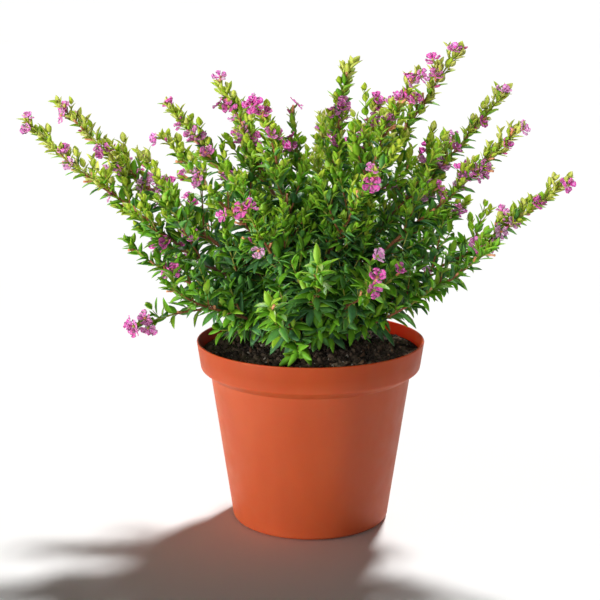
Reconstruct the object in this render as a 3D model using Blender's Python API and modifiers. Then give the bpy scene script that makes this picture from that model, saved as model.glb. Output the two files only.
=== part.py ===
"""False heather, a small flowering shrub, in the plastic nursery pot that it grows in.

Frame: metres, +Z up, -Y towards the viewer. The origin is the centre of the pot's flat underside,
and the pot's axis is the Z axis. Every stem leaves one short woody trunk. Its lower, bare stretch
is a bough, and the leafy rest is one mass of twigs, leaves and blossom, fused into a single body.
"""

import math
import random

import bmesh
import bpy
import numpy as np
from mathutils import Matrix, Vector

MM = 0.001

# The pot, from the rim diameter of a common 13 cm nursery pot
POT_HEIGHT = 105.5 * MM
RIM_RADIUS = 65.0 * MM
BASE_RADIUS = 44.7 * MM
POT_WALL = 1.2 * MM
POT_FLOOR = 2.0 * MM
BAND_HEIGHT = 15.5 * MM
BAND_TAPER = 2.3 * MM
SHOULDER_DROP = 4.0 * MM
BODY_TOP_RADIUS = 57.2 * MM
FOOT_CHAMFER = 2.0 * MM
TURNED_STEPS = 36  # the same for pot and soil, so that their facets run side by side
DRAIN_HOLES = 6
DRAIN_RING = 31.0 * MM
DRAIN_RADIUS = 3.5 * MM

# The compost, which fills the pot to just under its rim
CLEARANCE = 0.3 * MM
SOIL_EDGE = 98.5 * MM
SOIL_TOP = 101.0 * MM
SOIL_FLAT = 14.0 * MM

# The trunk, a short woody stem with a root flare
TRUNK_FOOT = SOIL_TOP + CLEARANCE
TRUNK_TOP = 154.0 * MM
TRUNK_RADIUS = 6.2 * MM
TRUNK_TOP_RADIUS = 3.2 * MM
FLARE_RADIUS = 10.0 * MM
FLARE_HEIGHT = 6.0 * MM
TRUNK_LEAN = 1.2 * MM
TRUNK_RINGS = 9

# The stems, from the lowest fork on the trunk to the highest: heading in degrees from +X,
# then the reach from the pot's axis and the height of the tip above the ground, in millimetres
STEMS = (
    ("right_foot", 328, 80, 146),
    ("back_low", 92, 108, 148),
    ("left_low", 190, 106, 168),
    ("front_low", 256, 91, 146),
    ("right_low", 340, 108, 168),
    ("back_low_left", 152, 104, 154),
    ("left_side", 220, 103, 154),
    ("right_long", 358, 145, 200),
    ("front_star", 272, 85, 167),
    ("left_long", 180, 160, 232),
    ("back_low_right", 30, 110, 178),
    ("front_right", 294, 81, 154),
    ("left_droop", 204, 105, 122),
    ("back_left_long", 143, 134, 205),
    ("front_lime", 312, 74, 158),
    ("left_second", 168, 150, 239),
    ("right_fourth", 352, 117, 230),
    ("back_long", 86, 138, 222),
    ("front_left", 241, 74, 193),
    ("back_right", 45, 128, 212),
    ("back_left", 112, 128, 223),
    ("right_third", 14, 117, 246),
    ("upper_left_front", 207, 90, 227),
    ("upper_right", 338, 63, 260),
    ("back_upper_left", 128, 72, 235),
    ("back_upper_right", 56, 76, 237),
    ("upper_left", 174, 82, 240),
    ("front_upper", 300, 68, 211),
    ("right_top", 10, 86, 270),
    ("centre_left", 226, 42, 241),
    ("centre_back", 104, 46, 233),
    ("crown", 23, 26, 262),
    ("crown_left", 156, 58, 250),
)
LOWEST_FORK = 107.0 * MM
HIGHEST_FORK = 149.0 * MM
FORK_DEPTH = 1.0 * MM
STRAIGHT_SLOPE = 50.0  # degrees above level at which a stem runs straight
FLATTER_BEND = 0.8  # how far a flatter stem overdoes its slope at the fork, and turns back at the tip
STEEPER_BEND = 0.5  # and a steeper one
FLATTEST_START = 10.0
STEEPEST_START = 56.0
ARCHING_SLOPE = 12.0  # a stem flatter than this arches over
ARCH_START = 18.0
START_PULL = 0.22
END_PULL = 0.33
STEM_RADIUS = 1.35 * MM
STEM_TAPER = 0.72
LONG_STEM = 170.0 * MM  # a stem of this length has the full radius
SHORT_STEM_SHARE = 0.75
BARE_SHARE = 0.34
BOUGH_SEGMENTS = 5
MASS_SEGMENTS = 6
STEEP_TIP = 50.0  # a stem steeper than this forks off the trunk with no bough of its own
LIMB_SAMPLES = 40

# The twigs and leaves of a mass
GOLDEN_ANGLE = math.radians(137.5)
TWIG_GAP = 7.0 * MM
FIRST_TWIG = BARE_SHARE + 0.03
LAST_TWIG = 0.86
TWIG_ANGLE = 42.0
TWIG_LIFT = 0.22
TWIG_SHARE = 0.40  # of the stem that is left beyond the twig's root
TWIG_EXTRA = 9.0 * MM
TWIG_LONGEST = 52.0 * MM
TWIG_SHORTEST = 8.0 * MM
TWIG_RADIUS = 0.7 * MM
TWIG_TAPER = 0.75
TWIG_EVERY = 3  # the solids carry each third twig of the rule
SHORTER = (1.0, 0.8, 0.6, 0.4)  # the shares of its length that a twig tries
LEAF_GAP = 15.5 * MM
LEAF_LENGTH = 22.0 * MM
LEAF_WIDTH = 0.40  # of the length, as the next three are
LEAF_WIDEST = 0.42
LEAF_THICKNESS = 0.045
LEAF_ARCH = 0.05
LEAF_ANGLE = 44.0
LEAF_SUNK = 0.3 * MM
STEM_LEAF_GAP = 18.0 * MM
STEM_LEAVES = 0.8  # the share of a mass's stem that has leaves of its own
TIP_LEAF = 12.0 * MM
TIP_ANGLE = 10.0
BLOOM_ANGLE = 50.0
BLOOM_BACK = 6.0 * MM
BLOOM_ALONG = 0.3
BLOOM_EVERY = 3  # each third twig of the solids bears a bloom
BLOOM_DEPTH = 8.5 * MM
BLOOM_RADIUS = 5.0 * MM
BLOOM_ROOT = 0.14  # of its mouth's radius
BLOOM_SIDES = 6
SPACE_MARGIN = 0.5 * MM
LIMB_MARGIN = 0.5 * MM
RIM_MARGIN = 2.0 * MM
SURFACE = 0.3 * MM  # how far a leaf or bloom may stand off the points that test its room
UP = Vector((0, 0, 1))


def clear_scene():
    for obj in list(bpy.data.objects):
        bpy.data.objects.remove(obj, do_unlink=True)


def collection(name):
    made = bpy.data.collections.new(name)
    bpy.context.scene.collection.children.link(made)
    return made


def material(name, colour, roughness):
    """A Principled material of one sRGB hex colour."""
    made = bpy.data.materials.new(name)
    made.use_nodes = True
    shader = made.node_tree.nodes["Principled BSDF"]
    channels = [int(colour[i : i + 2], 16) / 255 for i in (0, 2, 4)]
    linear = [((c + 0.055) / 1.055) ** 2.4 if c > 0.04045 else c / 12.92 for c in channels]
    shader.inputs["Base Color"].default_value = (*linear, 1)
    shader.inputs["Roughness"].default_value = roughness
    shader.inputs["Metallic"].default_value = 0
    return made


def new_object(name, data, group, finish=None):
    obj = bpy.data.objects.new(name, data)
    group.objects.link(obj)
    if finish is not None:
        data.materials.append(finish)
    return obj


def hide(obj):
    """Marks a cutter or a guide, which is no part of the plant."""
    obj.hide_render = True
    obj.display_type = "WIRE"


def evaluated_mesh(obj):
    """The object's mesh with its modifiers applied."""
    graph = bpy.context.evaluated_depsgraph_get()
    return bpy.data.meshes.new_from_object(obj.evaluated_get(graph))


def merge_doubles(mesh, distance):
    bm = bmesh.new()
    bm.from_mesh(mesh)
    bmesh.ops.remove_doubles(bm, verts=bm.verts, dist=distance)
    bm.to_mesh(mesh)
    bm.free()
    return mesh


def turned(name, profile, group, finish):
    """A profile at +X, given as (radius, height), turned round the Z axis."""
    bm = bmesh.new()
    points = [bm.verts.new((radius, 0, height)) for radius, height in profile]
    for first, second in zip(points, points[1:]):
        bm.edges.new((first, second))
    mesh = bpy.data.meshes.new(name)
    bm.to_mesh(mesh)
    bm.free()
    obj = new_object(name, mesh, group, finish)
    screw = obj.modifiers.new("turn", "SCREW")
    screw.axis = "Z"
    screw.steps = screw.render_steps = TURNED_STEPS
    screw.use_merge_vertices = True
    screw.merge_threshold = 0.00001
    return obj


def pot(group, cutters, finish):
    """The thin-walled pot: a tapering body, a shoulder and an upright rim band, with drain holes."""
    band_foot = POT_HEIGHT - BAND_HEIGHT
    shoulder = band_foot - SHOULDER_DROP
    outer = [
        (RIM_RADIUS, POT_HEIGHT),
        (RIM_RADIUS - BAND_TAPER, band_foot),
        (BODY_TOP_RADIUS, shoulder),
        (BASE_RADIUS, FOOT_CHAMFER),
        (BASE_RADIUS - FOOT_CHAMFER, 0),
        (0, 0),
    ]
    inner = [
        (0, POT_FLOOR),
        (BASE_RADIUS - POT_WALL, POT_FLOOR),
        (BODY_TOP_RADIUS - POT_WALL, shoulder + POT_WALL),
        (RIM_RADIUS - BAND_TAPER - POT_WALL, band_foot + POT_WALL),
        (RIM_RADIUS - POT_WALL, POT_HEIGHT),
    ]
    obj = turned("pot", inner + outer, group, finish)
    holes = bpy.data.collections.new("drain_holes")
    cutters.children.link(holes)
    for k in range(DRAIN_HOLES):
        turn = math.tau * (k + 0.5) / DRAIN_HOLES
        place = Vector((math.cos(turn) * DRAIN_RING, math.sin(turn) * DRAIN_RING, POT_FLOOR / 2))
        bm = bmesh.new()
        bmesh.ops.create_cone(
            bm, cap_ends=True, segments=10, radius1=DRAIN_RADIUS, radius2=DRAIN_RADIUS,
            depth=4 * POT_FLOOR, matrix=Matrix.Translation(place),
        )
        mesh = bpy.data.meshes.new(f"drain_hole_{k}")
        bm.to_mesh(mesh)
        bm.free()
        hide(new_object(f"drain_hole_{k}", mesh, holes))
    cut = obj.modifiers.new("drain", "BOOLEAN")
    cut.operation = "DIFFERENCE"
    cut.operand_type = "COLLECTION"
    cut.collection = holes
    return obj


def soil(group, finish):
    """The root ball: it follows the pot's inside, and its top is a low mound with a level middle."""
    shoulder = POT_HEIGHT - BAND_HEIGHT - SHOULDER_DROP + POT_WALL
    band_foot = POT_HEIGHT - BAND_HEIGHT + POT_WALL
    gap = POT_WALL + CLEARANCE
    slope = BAND_TAPER / BAND_HEIGHT
    edge = RIM_RADIUS - gap - (POT_HEIGHT - SOIL_EDGE) * slope
    profile = [
        (0, SOIL_TOP),
        (SOIL_FLAT, SOIL_TOP),
        ((SOIL_FLAT + edge) / 2, (SOIL_TOP + SOIL_EDGE) / 2 + 0.4 * MM),
        (edge, SOIL_EDGE),
        (RIM_RADIUS - BAND_TAPER - gap, band_foot + CLEARANCE),
        (BODY_TOP_RADIUS - gap, shoulder + CLEARANCE),
        (BASE_RADIUS - gap - CLEARANCE, POT_FLOOR + CLEARANCE),
        (0, POT_FLOOR + CLEARANCE),
    ]
    return turned("soil", profile, group, finish)


def trunk_centre(height):
    """The trunk's middle at that height: upright at the ground, then leaning a little."""
    share = (height - TRUNK_FOOT) / (TRUNK_TOP - TRUNK_FOOT)
    return Vector((TRUNK_LEAN * share * share, -TRUNK_LEAN * share * share, height))


def trunk_radius(height):
    share = (height - TRUNK_FOOT) / (TRUNK_TOP - TRUNK_FOOT)
    flare = max(0.0, 1 - (height - TRUNK_FOOT) / FLARE_HEIGHT) ** 2
    straight = TRUNK_RADIUS + (TRUNK_TOP_RADIUS - TRUNK_RADIUS) * share
    return straight + (FLARE_RADIUS - TRUNK_RADIUS) * flare


def tube(name, points, radii, group, finish=None, resolution=1, section=None):
    """A tapering limb along the points. A section object gives it that outline in place of a round one."""
    curve = bpy.data.curves.new(name, "CURVE")
    curve.dimensions = "3D"
    curve.use_fill_caps = True
    if section is None:
        curve.bevel_depth = 1.0
        curve.bevel_resolution = resolution
    else:
        curve.bevel_mode = "OBJECT"
        curve.bevel_object = section
    spline = curve.splines.new("POLY")
    spline.points.add(len(points) - 1)
    for slot, point, radius in zip(spline.points, points, radii):
        slot.co = (*point, 1)
        slot.radius = radius
    guide = new_object(name + "_line", curve, group)
    bpy.context.view_layer.update()
    obj = new_object(name, merge_doubles(evaluated_mesh(guide), 0.002 * MM), group, finish)
    bpy.data.objects.remove(guide)
    return obj


def three_sided(group):
    """The outline of a twig: a triangle of unit radius."""
    curve = bpy.data.curves.new("three_sided", "CURVE")
    curve.dimensions = "2D"
    curve.fill_mode = "NONE"
    spline = curve.splines.new("POLY")
    spline.points.add(2)
    for k, slot in enumerate(spline.points):
        turn = -math.tau * k / 3
        slot.co = (math.cos(turn), math.sin(turn), 0, 1)
    spline.use_cyclic_u = True
    obj = new_object("three_sided", curve, group)
    hide(obj)
    return obj


def trunk(name, group, finish=None, grown=0.0):
    """The trunk from its flat foot on the ground to its tip, thicker all round by the amount grown."""
    low, high = TRUNK_FOOT - grown, TRUNK_TOP + grown
    share = [(k / TRUNK_RINGS) ** 1.3 for k in range(TRUNK_RINGS + 1)]
    heights = [low + (high - low) * s for s in share]
    radii = [trunk_radius(min(max(h, TRUNK_FOOT), TRUNK_TOP)) + grown for h in heights]
    return tube(name, [trunk_centre(h) for h in heights], radii, group, finish, resolution=3)


class Stem:
    """One stem: a cubic curve from inside the trunk to its tip, with its fork on the trunk by rank."""

    def __init__(self, rank, name, heading, reach, height):
        self.name = name
        self.rank = rank
        turn = math.radians(heading)
        out = Vector((math.cos(turn), math.sin(turn), 0))
        fork = LOWEST_FORK + (HIGHEST_FORK - LOWEST_FORK) * rank / (len(STEMS) - 1)
        start = trunk_centre(fork) + out * (trunk_radius(fork) - FORK_DEPTH)
        tip = out * reach * MM + UP * height * MM
        span = (tip - start).length
        slope = math.degrees(math.asin((tip - start).z / span))
        first, last = self.bend(slope)
        self.slope = slope
        self.span = span
        self.corners = (
            start,
            start + self.rising(out, first) * span * START_PULL,
            tip - self.rising(out, last) * span * END_PULL,
            tip,
        )

    @staticmethod
    def bend(slope):
        """The angles above level, in degrees, at which a stem of that slope sets out and ends."""
        if slope < ARCHING_SLOPE:
            return ARCH_START, 2 * slope - ARCH_START
        overdone = (slope - STRAIGHT_SLOPE) * (FLATTER_BEND if slope < STRAIGHT_SLOPE else STEEPER_BEND)
        first = min(max(slope + overdone, FLATTEST_START), STEEPEST_START)
        return first, slope - overdone

    @staticmethod
    def rising(out, degrees):
        angle = math.radians(degrees)
        return out * math.cos(angle) + UP * math.sin(angle)

    def at(self, s):
        a, b, c, d = self.corners
        t = 1 - s
        return a * t**3 + b * (3 * t * t * s) + c * (3 * t * s * s) + d * s**3

    def along(self, s):
        a, b, c, d = self.corners
        t = 1 - s
        return ((b - a) * t * t + (c - b) * 2 * t * s + (d - c) * s * s).normalized()

    def radius(self, s):
        stoutness = SHORT_STEM_SHARE + (1 - SHORT_STEM_SHARE) * self.span / LONG_STEM
        return STEM_RADIUS * (1 - STEM_TAPER * s) * stoutness

    def has_bough(self):
        return self.slope < STEEP_TIP

    def leafy_end(self):
        """Where the stem ends, short of its tip by the leaf that carries it on."""
        return 1 - TIP_LEAF / self.span

    def samples(self, low, high, count=LIMB_SAMPLES):
        return np.array([self.at(low + (high - low) * k / (count - 1)) for k in range(count)])


def side_axes(direction):
    """Two unit vectors across a direction, the second as near to upright as it can be."""
    across = direction.cross(UP)
    if across.length < 0.05:
        across = Vector((1, 0, 0))
    across.normalize()
    return across, across.cross(direction).normalized()


def leaning(direction, angle, turn):
    """A direction at that angle to another, turned round it."""
    across, upper = side_axes(direction)
    side = across * math.cos(turn) + upper * math.sin(turn)
    return (direction * math.cos(angle) + side * math.sin(angle)).normalized(), side


def twigs_of(stem):
    """The twigs of a stem by the plant's rule: (start, direction, length, radius), tip-most last."""
    rng = random.Random(stem.name)
    count = round(stem.span * (LAST_TWIG - BARE_SHARE) / TWIG_GAP)
    found = []
    turn = rng.uniform(0, math.tau)
    for k in range(count):
        s = FIRST_TWIG + (LAST_TWIG - FIRST_TWIG) * (k + rng.uniform(0.2, 0.8)) / count
        turn += GOLDEN_ANGLE
        length = TWIG_SHARE * stem.span * (1 - s) + TWIG_EXTRA
        length = min(length * rng.uniform(0.75, 1.15), TWIG_LONGEST)
        angle = math.radians(TWIG_ANGLE * rng.uniform(0.8, 1.2))
        direction, _ = leaning(stem.along(s), angle, turn)
        direction = (direction + UP * TWIG_LIFT).normalized()
        found.append((stem.at(s), direction, length, TWIG_RADIUS))
    return found


class Space:
    """What each mass keeps to: the room nearer to its own stem than to any other, clear of the limbs."""

    def __init__(self, stems):
        self.leafy = np.array([stem.samples(BARE_SHARE, 1) for stem in stems])
        limbs = [(stem.samples(0, BARE_SHARE), stem.radius(0)) for stem in stems if stem.has_bough()]
        heights = np.linspace(TRUNK_FOOT, TRUNK_TOP, LIMB_SAMPLES)
        limbs.append((np.array([trunk_centre(h) for h in heights]), TRUNK_RADIUS))
        self.limb_points = np.concatenate([points for points, _ in limbs])
        self.limb_radii = np.concatenate([np.full(len(points), radius) for points, radius in limbs])

    def holds(self, rank, points, thickness=0.0):
        """True where all the points lie in that stem's room."""
        points = np.array([tuple(p) for p in points])
        apart = np.linalg.norm(points[:, None, None] - self.leafy[None], axis=3).min(axis=2)
        own = apart[:, rank].copy()
        apart[:, rank] = np.inf
        if (apart.min(axis=1) - own < 2 * (SPACE_MARGIN + thickness)).any():
            return False
        limbs = np.linalg.norm(points[:, None] - self.limb_points[None], axis=2)
        if (limbs - self.limb_radii < LIMB_MARGIN + thickness).any():
            return False
        outside = np.hypot(points[:, 0], points[:, 1]) > RIM_RADIUS + RIM_MARGIN
        return bool((outside | (points[:, 2] > POT_HEIGHT + RIM_MARGIN)).all())


def unit_leaf():
    """A leaf of eight faces, from its root at the origin along +Z, arched along its length."""
    bm = bmesh.new()
    bmesh.ops.create_uvsphere(bm, u_segments=4, v_segments=2, radius=0.5)
    for vert in bm.verts:
        at_middle = abs(vert.co.z) < 0.1
        on_face = abs(vert.co.y) > 0.1
        vert.co.z = LEAF_WIDEST if at_middle else vert.co.z + 0.5
        vert.co.x *= LEAF_WIDTH
        vert.co.y = vert.co.y * LEAF_THICKNESS + (LEAF_ARCH if on_face else 0)
    mesh = bpy.data.meshes.new("unit_leaf")
    bm.to_mesh(mesh)
    bm.free()
    return mesh


def unit_cone(name, sides, root, mouth):
    """A cone of that many sides from the origin along +Z, of unit depth."""
    bm = bmesh.new()
    bmesh.ops.create_cone(
        bm, cap_ends=True, segments=sides, radius1=root, radius2=mouth, depth=1,
        matrix=Matrix.Translation((0, 0, 0.5)),
    )
    mesh = bpy.data.meshes.new(name)
    bm.to_mesh(mesh)
    bm.free()
    return mesh


def placed(mesh, origin, direction, facing, size):
    """A unit shape set at a point: +Z along the direction, +Y towards the facing side."""
    z = direction.normalized()
    x = facing.cross(z).normalized()
    y = z.cross(x)
    turn = Matrix((x, y, z)).transposed().to_4x4()
    obj = bpy.data.objects.new(mesh.name, mesh)
    obj.matrix_world = Matrix.Translation(origin) @ turn @ Matrix.Diagonal((*size, 1))
    return obj


def leaf_points(root, direction, length):
    """Points along and across a leaf, for the test of its room."""
    across, _ = side_axes(direction)
    middle = root + direction * length * LEAF_WIDEST
    half = across * length * LEAF_WIDTH / 2
    lift = UP * length * LEAF_ARCH
    return [
        root + direction * length * 0.2,
        middle + half, middle - half, middle + lift, middle - lift,
        root + direction * length * 0.75,
        root + direction * length,
    ]


class Mass:
    """The pieces of one mass while it grows: its twigs, leaves and blooms, each kept to the stem's room."""

    def __init__(self, stem, space, shapes):
        self.stem = stem
        self.space = space
        self.shapes = shapes
        self.rng = random.Random(stem.name + "_leaves")
        self.pieces = []

    def leaf(self, point, direction, turn, length, angle=LEAF_ANGLE):
        angle = math.radians(angle * self.rng.uniform(0.8, 1.2))
        pointing, side = leaning(direction, angle, turn)
        if self.space.holds(self.stem.rank, leaf_points(point, pointing, length), SURFACE):
            facing = direction * math.sin(angle) - side * math.cos(angle) + UP * 0.6
            root = point - pointing * LEAF_SUNK
            self.pieces.append(placed(self.shapes["leaf"], root, pointing, facing, (length,) * 3))

    def leaves_along(self, start, direction, length, size):
        """Leaves one by one up a twig, a golden angle apart, with one more at its tip."""
        turn = self.rng.uniform(0, math.tau)
        count = max(1, int(length / LEAF_GAP))
        for k in range(count):
            turn += GOLDEN_ANGLE
            place = start + direction * length * (k + 0.6) / count
            self.leaf(place, direction, turn, size * (1 - 0.25 * k / count))
        self.leaf(start + direction * (length - LEAF_SUNK), direction, turn, TIP_LEAF, TIP_ANGLE)

    def bloom(self, point, direction, turn):
        pointing, side = leaning(direction, math.radians(BLOOM_ANGLE), turn)
        across, upper = side_axes(pointing)
        mouth = point + pointing * BLOOM_DEPTH
        turns = [math.tau * k / BLOOM_SIDES for k in range(BLOOM_SIDES)]
        edge = [mouth + (across * math.cos(t) + upper * math.sin(t)) * BLOOM_RADIUS for t in turns]
        if self.space.holds(self.stem.rank, [mouth, (point + mouth) / 2, *edge], SURFACE):
            size = (BLOOM_RADIUS, BLOOM_RADIUS, BLOOM_DEPTH)
            self.pieces.append(placed(self.shapes["bloom"], point, pointing, side, size))

    def twig(self, start, direction, length, radius):
        """A twig as long as its room allows, with its leaves. Returns whether one was grown."""
        _, upper = side_axes(direction)
        for reach in (length * share for share in SHORTER if length * share > TWIG_SHORTEST):
            points = [start + direction * reach * k / 6 for k in range(1, 7)]
            if self.space.holds(self.stem.rank, points, radius):
                size = (radius, radius, reach)
                self.pieces.append(placed(self.shapes["twig"], start, direction, upper, size))
                leaf_length = LEAF_LENGTH * (0.8 + 0.35 * (1 - length / TWIG_LONGEST))
                self.leaves_along(start, direction, reach, leaf_length)
                return True
        return False

    def grow(self):
        stem = self.stem
        for k, (start, direction, length, radius) in enumerate(twigs_of(stem)[::TWIG_EVERY]):
            if self.twig(start, direction, length, radius) and k % BLOOM_EVERY == 1:
                place = start + direction * length * BLOOM_ALONG
                self.bloom(place, direction, self.rng.uniform(0, math.tau))
        turn = self.rng.uniform(0, math.tau)
        last = stem.leafy_end() - LEAF_SUNK / stem.span
        leafy = (last - BARE_SHARE) * STEM_LEAVES
        count = max(3, round(leafy * stem.span / STEM_LEAF_GAP))
        self.leaf(stem.at(last), stem.along(1), turn, TIP_LEAF, TIP_ANGLE)
        self.bloom(stem.at(last - BLOOM_BACK / stem.span), stem.along(last), turn + math.pi)
        for k in range(count):
            s = last - leafy * (k + 0.5) / count
            turn += GOLDEN_ANGLE
            self.leaf(stem.at(s), stem.along(s), turn, LEAF_LENGTH * (0.6 + 0.4 * k / count))


def fused(name, base, pieces, group, finish):
    """One closed body from a stem and the pieces that overlap it."""
    joined = bpy.data.collections.new(name + "_pieces")
    bpy.context.scene.collection.children.link(joined)
    for piece in pieces:
        joined.objects.link(piece)
    union = base.modifiers.new("fuse", "BOOLEAN")
    union.operation = "UNION"
    union.operand_type = "COLLECTION"
    union.collection = joined
    union.solver = "MANIFOLD"
    bpy.context.view_layer.update()
    mesh = evaluated_mesh(base)
    keep_largest(mesh)
    for piece in [*pieces, base]:
        bpy.data.objects.remove(piece)
    bpy.data.collections.remove(joined)
    mesh.materials.clear()
    return new_object(name, mesh, group, finish)


def keep_largest(mesh):
    """Drops loose scraps, which are the islands of faces other than the largest."""
    bm = bmesh.new()
    bm.from_mesh(mesh)
    left = set(bm.verts)
    islands = []
    while left:
        island, front = set(), [left.pop()]
        while front:
            vert = front.pop()
            island.add(vert)
            for edge in vert.link_edges:
                other = edge.other_vert(vert)
                if other in left:
                    left.discard(other)
                    front.append(other)
        islands.append(island)
    islands.sort(key=len)
    for island in islands[:-1]:
        bmesh.ops.delete(bm, geom=list(island), context="VERTS")
    bm.to_mesh(mesh)
    bm.free()


def cut_by(obj, cutter):
    """Takes the cutter's shape out of the object, for good."""
    cut = obj.modifiers.new("seat", "BOOLEAN")
    cut.operation = "DIFFERENCE"
    cut.object = cutter
    bpy.context.view_layer.update()
    old, obj.data = obj.data, evaluated_mesh(obj)
    obj.modifiers.clear()
    bpy.data.meshes.remove(old)
    keep_largest(obj.data)
    return obj


def bough(stem, group, cutter, finish):
    """The bare lower stretch of a stem, seated against the trunk."""
    shares = [BARE_SHARE * k / BOUGH_SEGMENTS for k in range(BOUGH_SEGMENTS + 1)]
    points = [stem.at(s) for s in shares]
    limb = tube("bough_" + stem.name, points, [stem.radius(s) for s in shares], group, finish)
    return cut_by(limb, cutter)


def leafy_stem(stem, group, cutter, section):
    """The stem inside a mass: it starts just clear of its bough's tip, or at the trunk."""
    first = BARE_SHARE + CLEARANCE / stem.span if stem.has_bough() else 0.0
    last = stem.leafy_end()
    shares = [first + (last - first) * k / MASS_SEGMENTS for k in range(MASS_SEGMENTS + 1)]
    radii = [max(stem.radius(s), TWIG_RADIUS) for s in shares]
    limb = tube("stem_" + stem.name, [stem.at(s) for s in shares], radii, group, section=section)
    return limb if stem.has_bough() else cut_by(limb, cutter)


def build():
    clear_scene()
    plant = collection("cuphea_plant")
    cutters = collection("cutters")
    plastic = material("terracotta_plastic", "C4592F", 0.42)
    compost = material("compost", "2E211B", 0.95)
    bark = material("bark", "6B4430", 0.8)
    foliage = material("foliage", "4E8A1E", 0.5)
    pot(plant, cutters, plastic)
    soil(plant, compost)
    trunk("trunk", plant, bark)
    seat = trunk("trunk_seat", cutters, grown=CLEARANCE)
    hide(seat)
    section = three_sided(cutters)
    shapes = {
        "leaf": unit_leaf(),
        "twig": unit_cone("unit_twig", 3, 1, TWIG_TAPER),
        "bloom": unit_cone("unit_bloom", BLOOM_SIDES, BLOOM_ROOT, 1),
    }
    stems = [Stem(rank, *row) for rank, row in enumerate(STEMS)]
    space = Space(stems)
    for stem in stems:
        if stem.has_bough():
            bough(stem, plant, seat, bark)
    for stem in stems:
        mass = Mass(stem, space, shapes)
        mass.grow()
        limb = leafy_stem(stem, plant, seat, section)
        fused("foliage_" + stem.name, limb, mass.pieces, plant, foliage)


build()
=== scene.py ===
"""The looks of a flowering false heather in its plastic nursery pot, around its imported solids.

Everything is in metres in the solids' frame: the origin is the centre of the pot's underside, +Z is up
and -Y is towards the viewer. The stems follow the same rule as the solids' stems do, and carry on into
finer twigs, leaves and blossom.
"""

import math
import random

import bmesh
import bpy
import numpy as np
from mathutils import Matrix, Vector


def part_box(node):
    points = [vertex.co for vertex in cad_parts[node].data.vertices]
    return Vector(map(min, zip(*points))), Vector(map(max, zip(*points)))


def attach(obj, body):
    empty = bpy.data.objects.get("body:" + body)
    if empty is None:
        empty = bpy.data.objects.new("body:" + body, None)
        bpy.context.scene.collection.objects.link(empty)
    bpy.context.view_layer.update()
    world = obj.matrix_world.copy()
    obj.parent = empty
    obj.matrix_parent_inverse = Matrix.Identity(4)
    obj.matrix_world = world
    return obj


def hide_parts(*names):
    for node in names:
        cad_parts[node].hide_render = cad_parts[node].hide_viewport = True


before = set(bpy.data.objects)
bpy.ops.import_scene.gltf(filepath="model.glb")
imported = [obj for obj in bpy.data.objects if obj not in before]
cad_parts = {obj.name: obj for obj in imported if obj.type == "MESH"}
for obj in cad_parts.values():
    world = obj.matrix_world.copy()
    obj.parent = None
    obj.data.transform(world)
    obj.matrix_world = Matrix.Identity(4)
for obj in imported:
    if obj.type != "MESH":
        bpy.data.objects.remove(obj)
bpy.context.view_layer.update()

MM = 0.001
UP = Vector((0, 0, 1))
FRONT = Vector((0, -1, 0))
GOLDEN_ANGLE = math.radians(137.5)
MASS_NODES = sorted(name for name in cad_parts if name.startswith("foliage_"))
BOUGH_NODES = sorted(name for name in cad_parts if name.startswith("bough_"))

# The pot: its size from the solids, and the places of its band and shoulder
RIM_RADIUS, _, POT_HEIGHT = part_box("pot")[1]
BASE_RADIUS = 44.7 * MM
POT_WALL = 1.2 * MM
POT_FLOOR = 2.0 * MM
BAND_FOOT = POT_HEIGHT - 15.5 * MM
BAND_TAPER = 2.3 * MM
SHOULDER = BAND_FOOT - 4.0 * MM
BODY_TOP_RADIUS = 57.2 * MM
TURNED_STEPS = 160
WELD = 1e-6
PAINTED_SHADE_FROM = 20 * MM  # from here towards the left the inner wall goes from a tint brightened by painted light to one darkened by painted shade
PAINTED_SHADE_TO = -30 * MM
PAINTED_SHEEN_BELOW = 97 * MM  # under this height the outside is painted paler and less saturated, a painted sheen
DRAIN_HOLES = 6
DRAIN_RING = 31.0 * MM
DRAIN_RADIUS = 3.5 * MM

# The compost: a low mound, dented as it settled
SOIL_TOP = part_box("soil")[1].z
SOIL_EDGE = 98.5 * MM
SOIL_FLAT = 14.0 * MM
CLEARANCE = 0.3 * MM
DENT_SIZE = 7 * MM
DENT_DEPTH = 4.0 * MM
# What lies on it: size, how much longer than wide, distance apart, seed, two tints
STREWN = {
    "compost_crumbs": (2.7 * MM, 1.0, 1.35 * MM, 3, "211A16", "5C4E42"),
    "compost_lumps": (5.2 * MM, 1.1, 4.6 * MM, 5, "261E1A", "645546"),
    "bark_chips": (3.0 * MM, 2.2, 8.0 * MM, 8, "4A3628", "826650"),
    "pale_grit": (2.2 * MM, 1.7, 9.0 * MM, 13, "7A7066", "C4BAAC"),
}

# The trunk and the rule of the stems, as in the solids
TRUNK_FOOT, TRUNK_TOP = (corner.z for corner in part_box("trunk"))
TRUNK_RADIUS = 6.2 * MM
TRUNK_TOP_RADIUS = 3.2 * MM
FLARE_RADIUS = 10.0 * MM
FLARE_HEIGHT = 6.0 * MM
TRUNK_LEAN = 1.2 * MM

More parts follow.
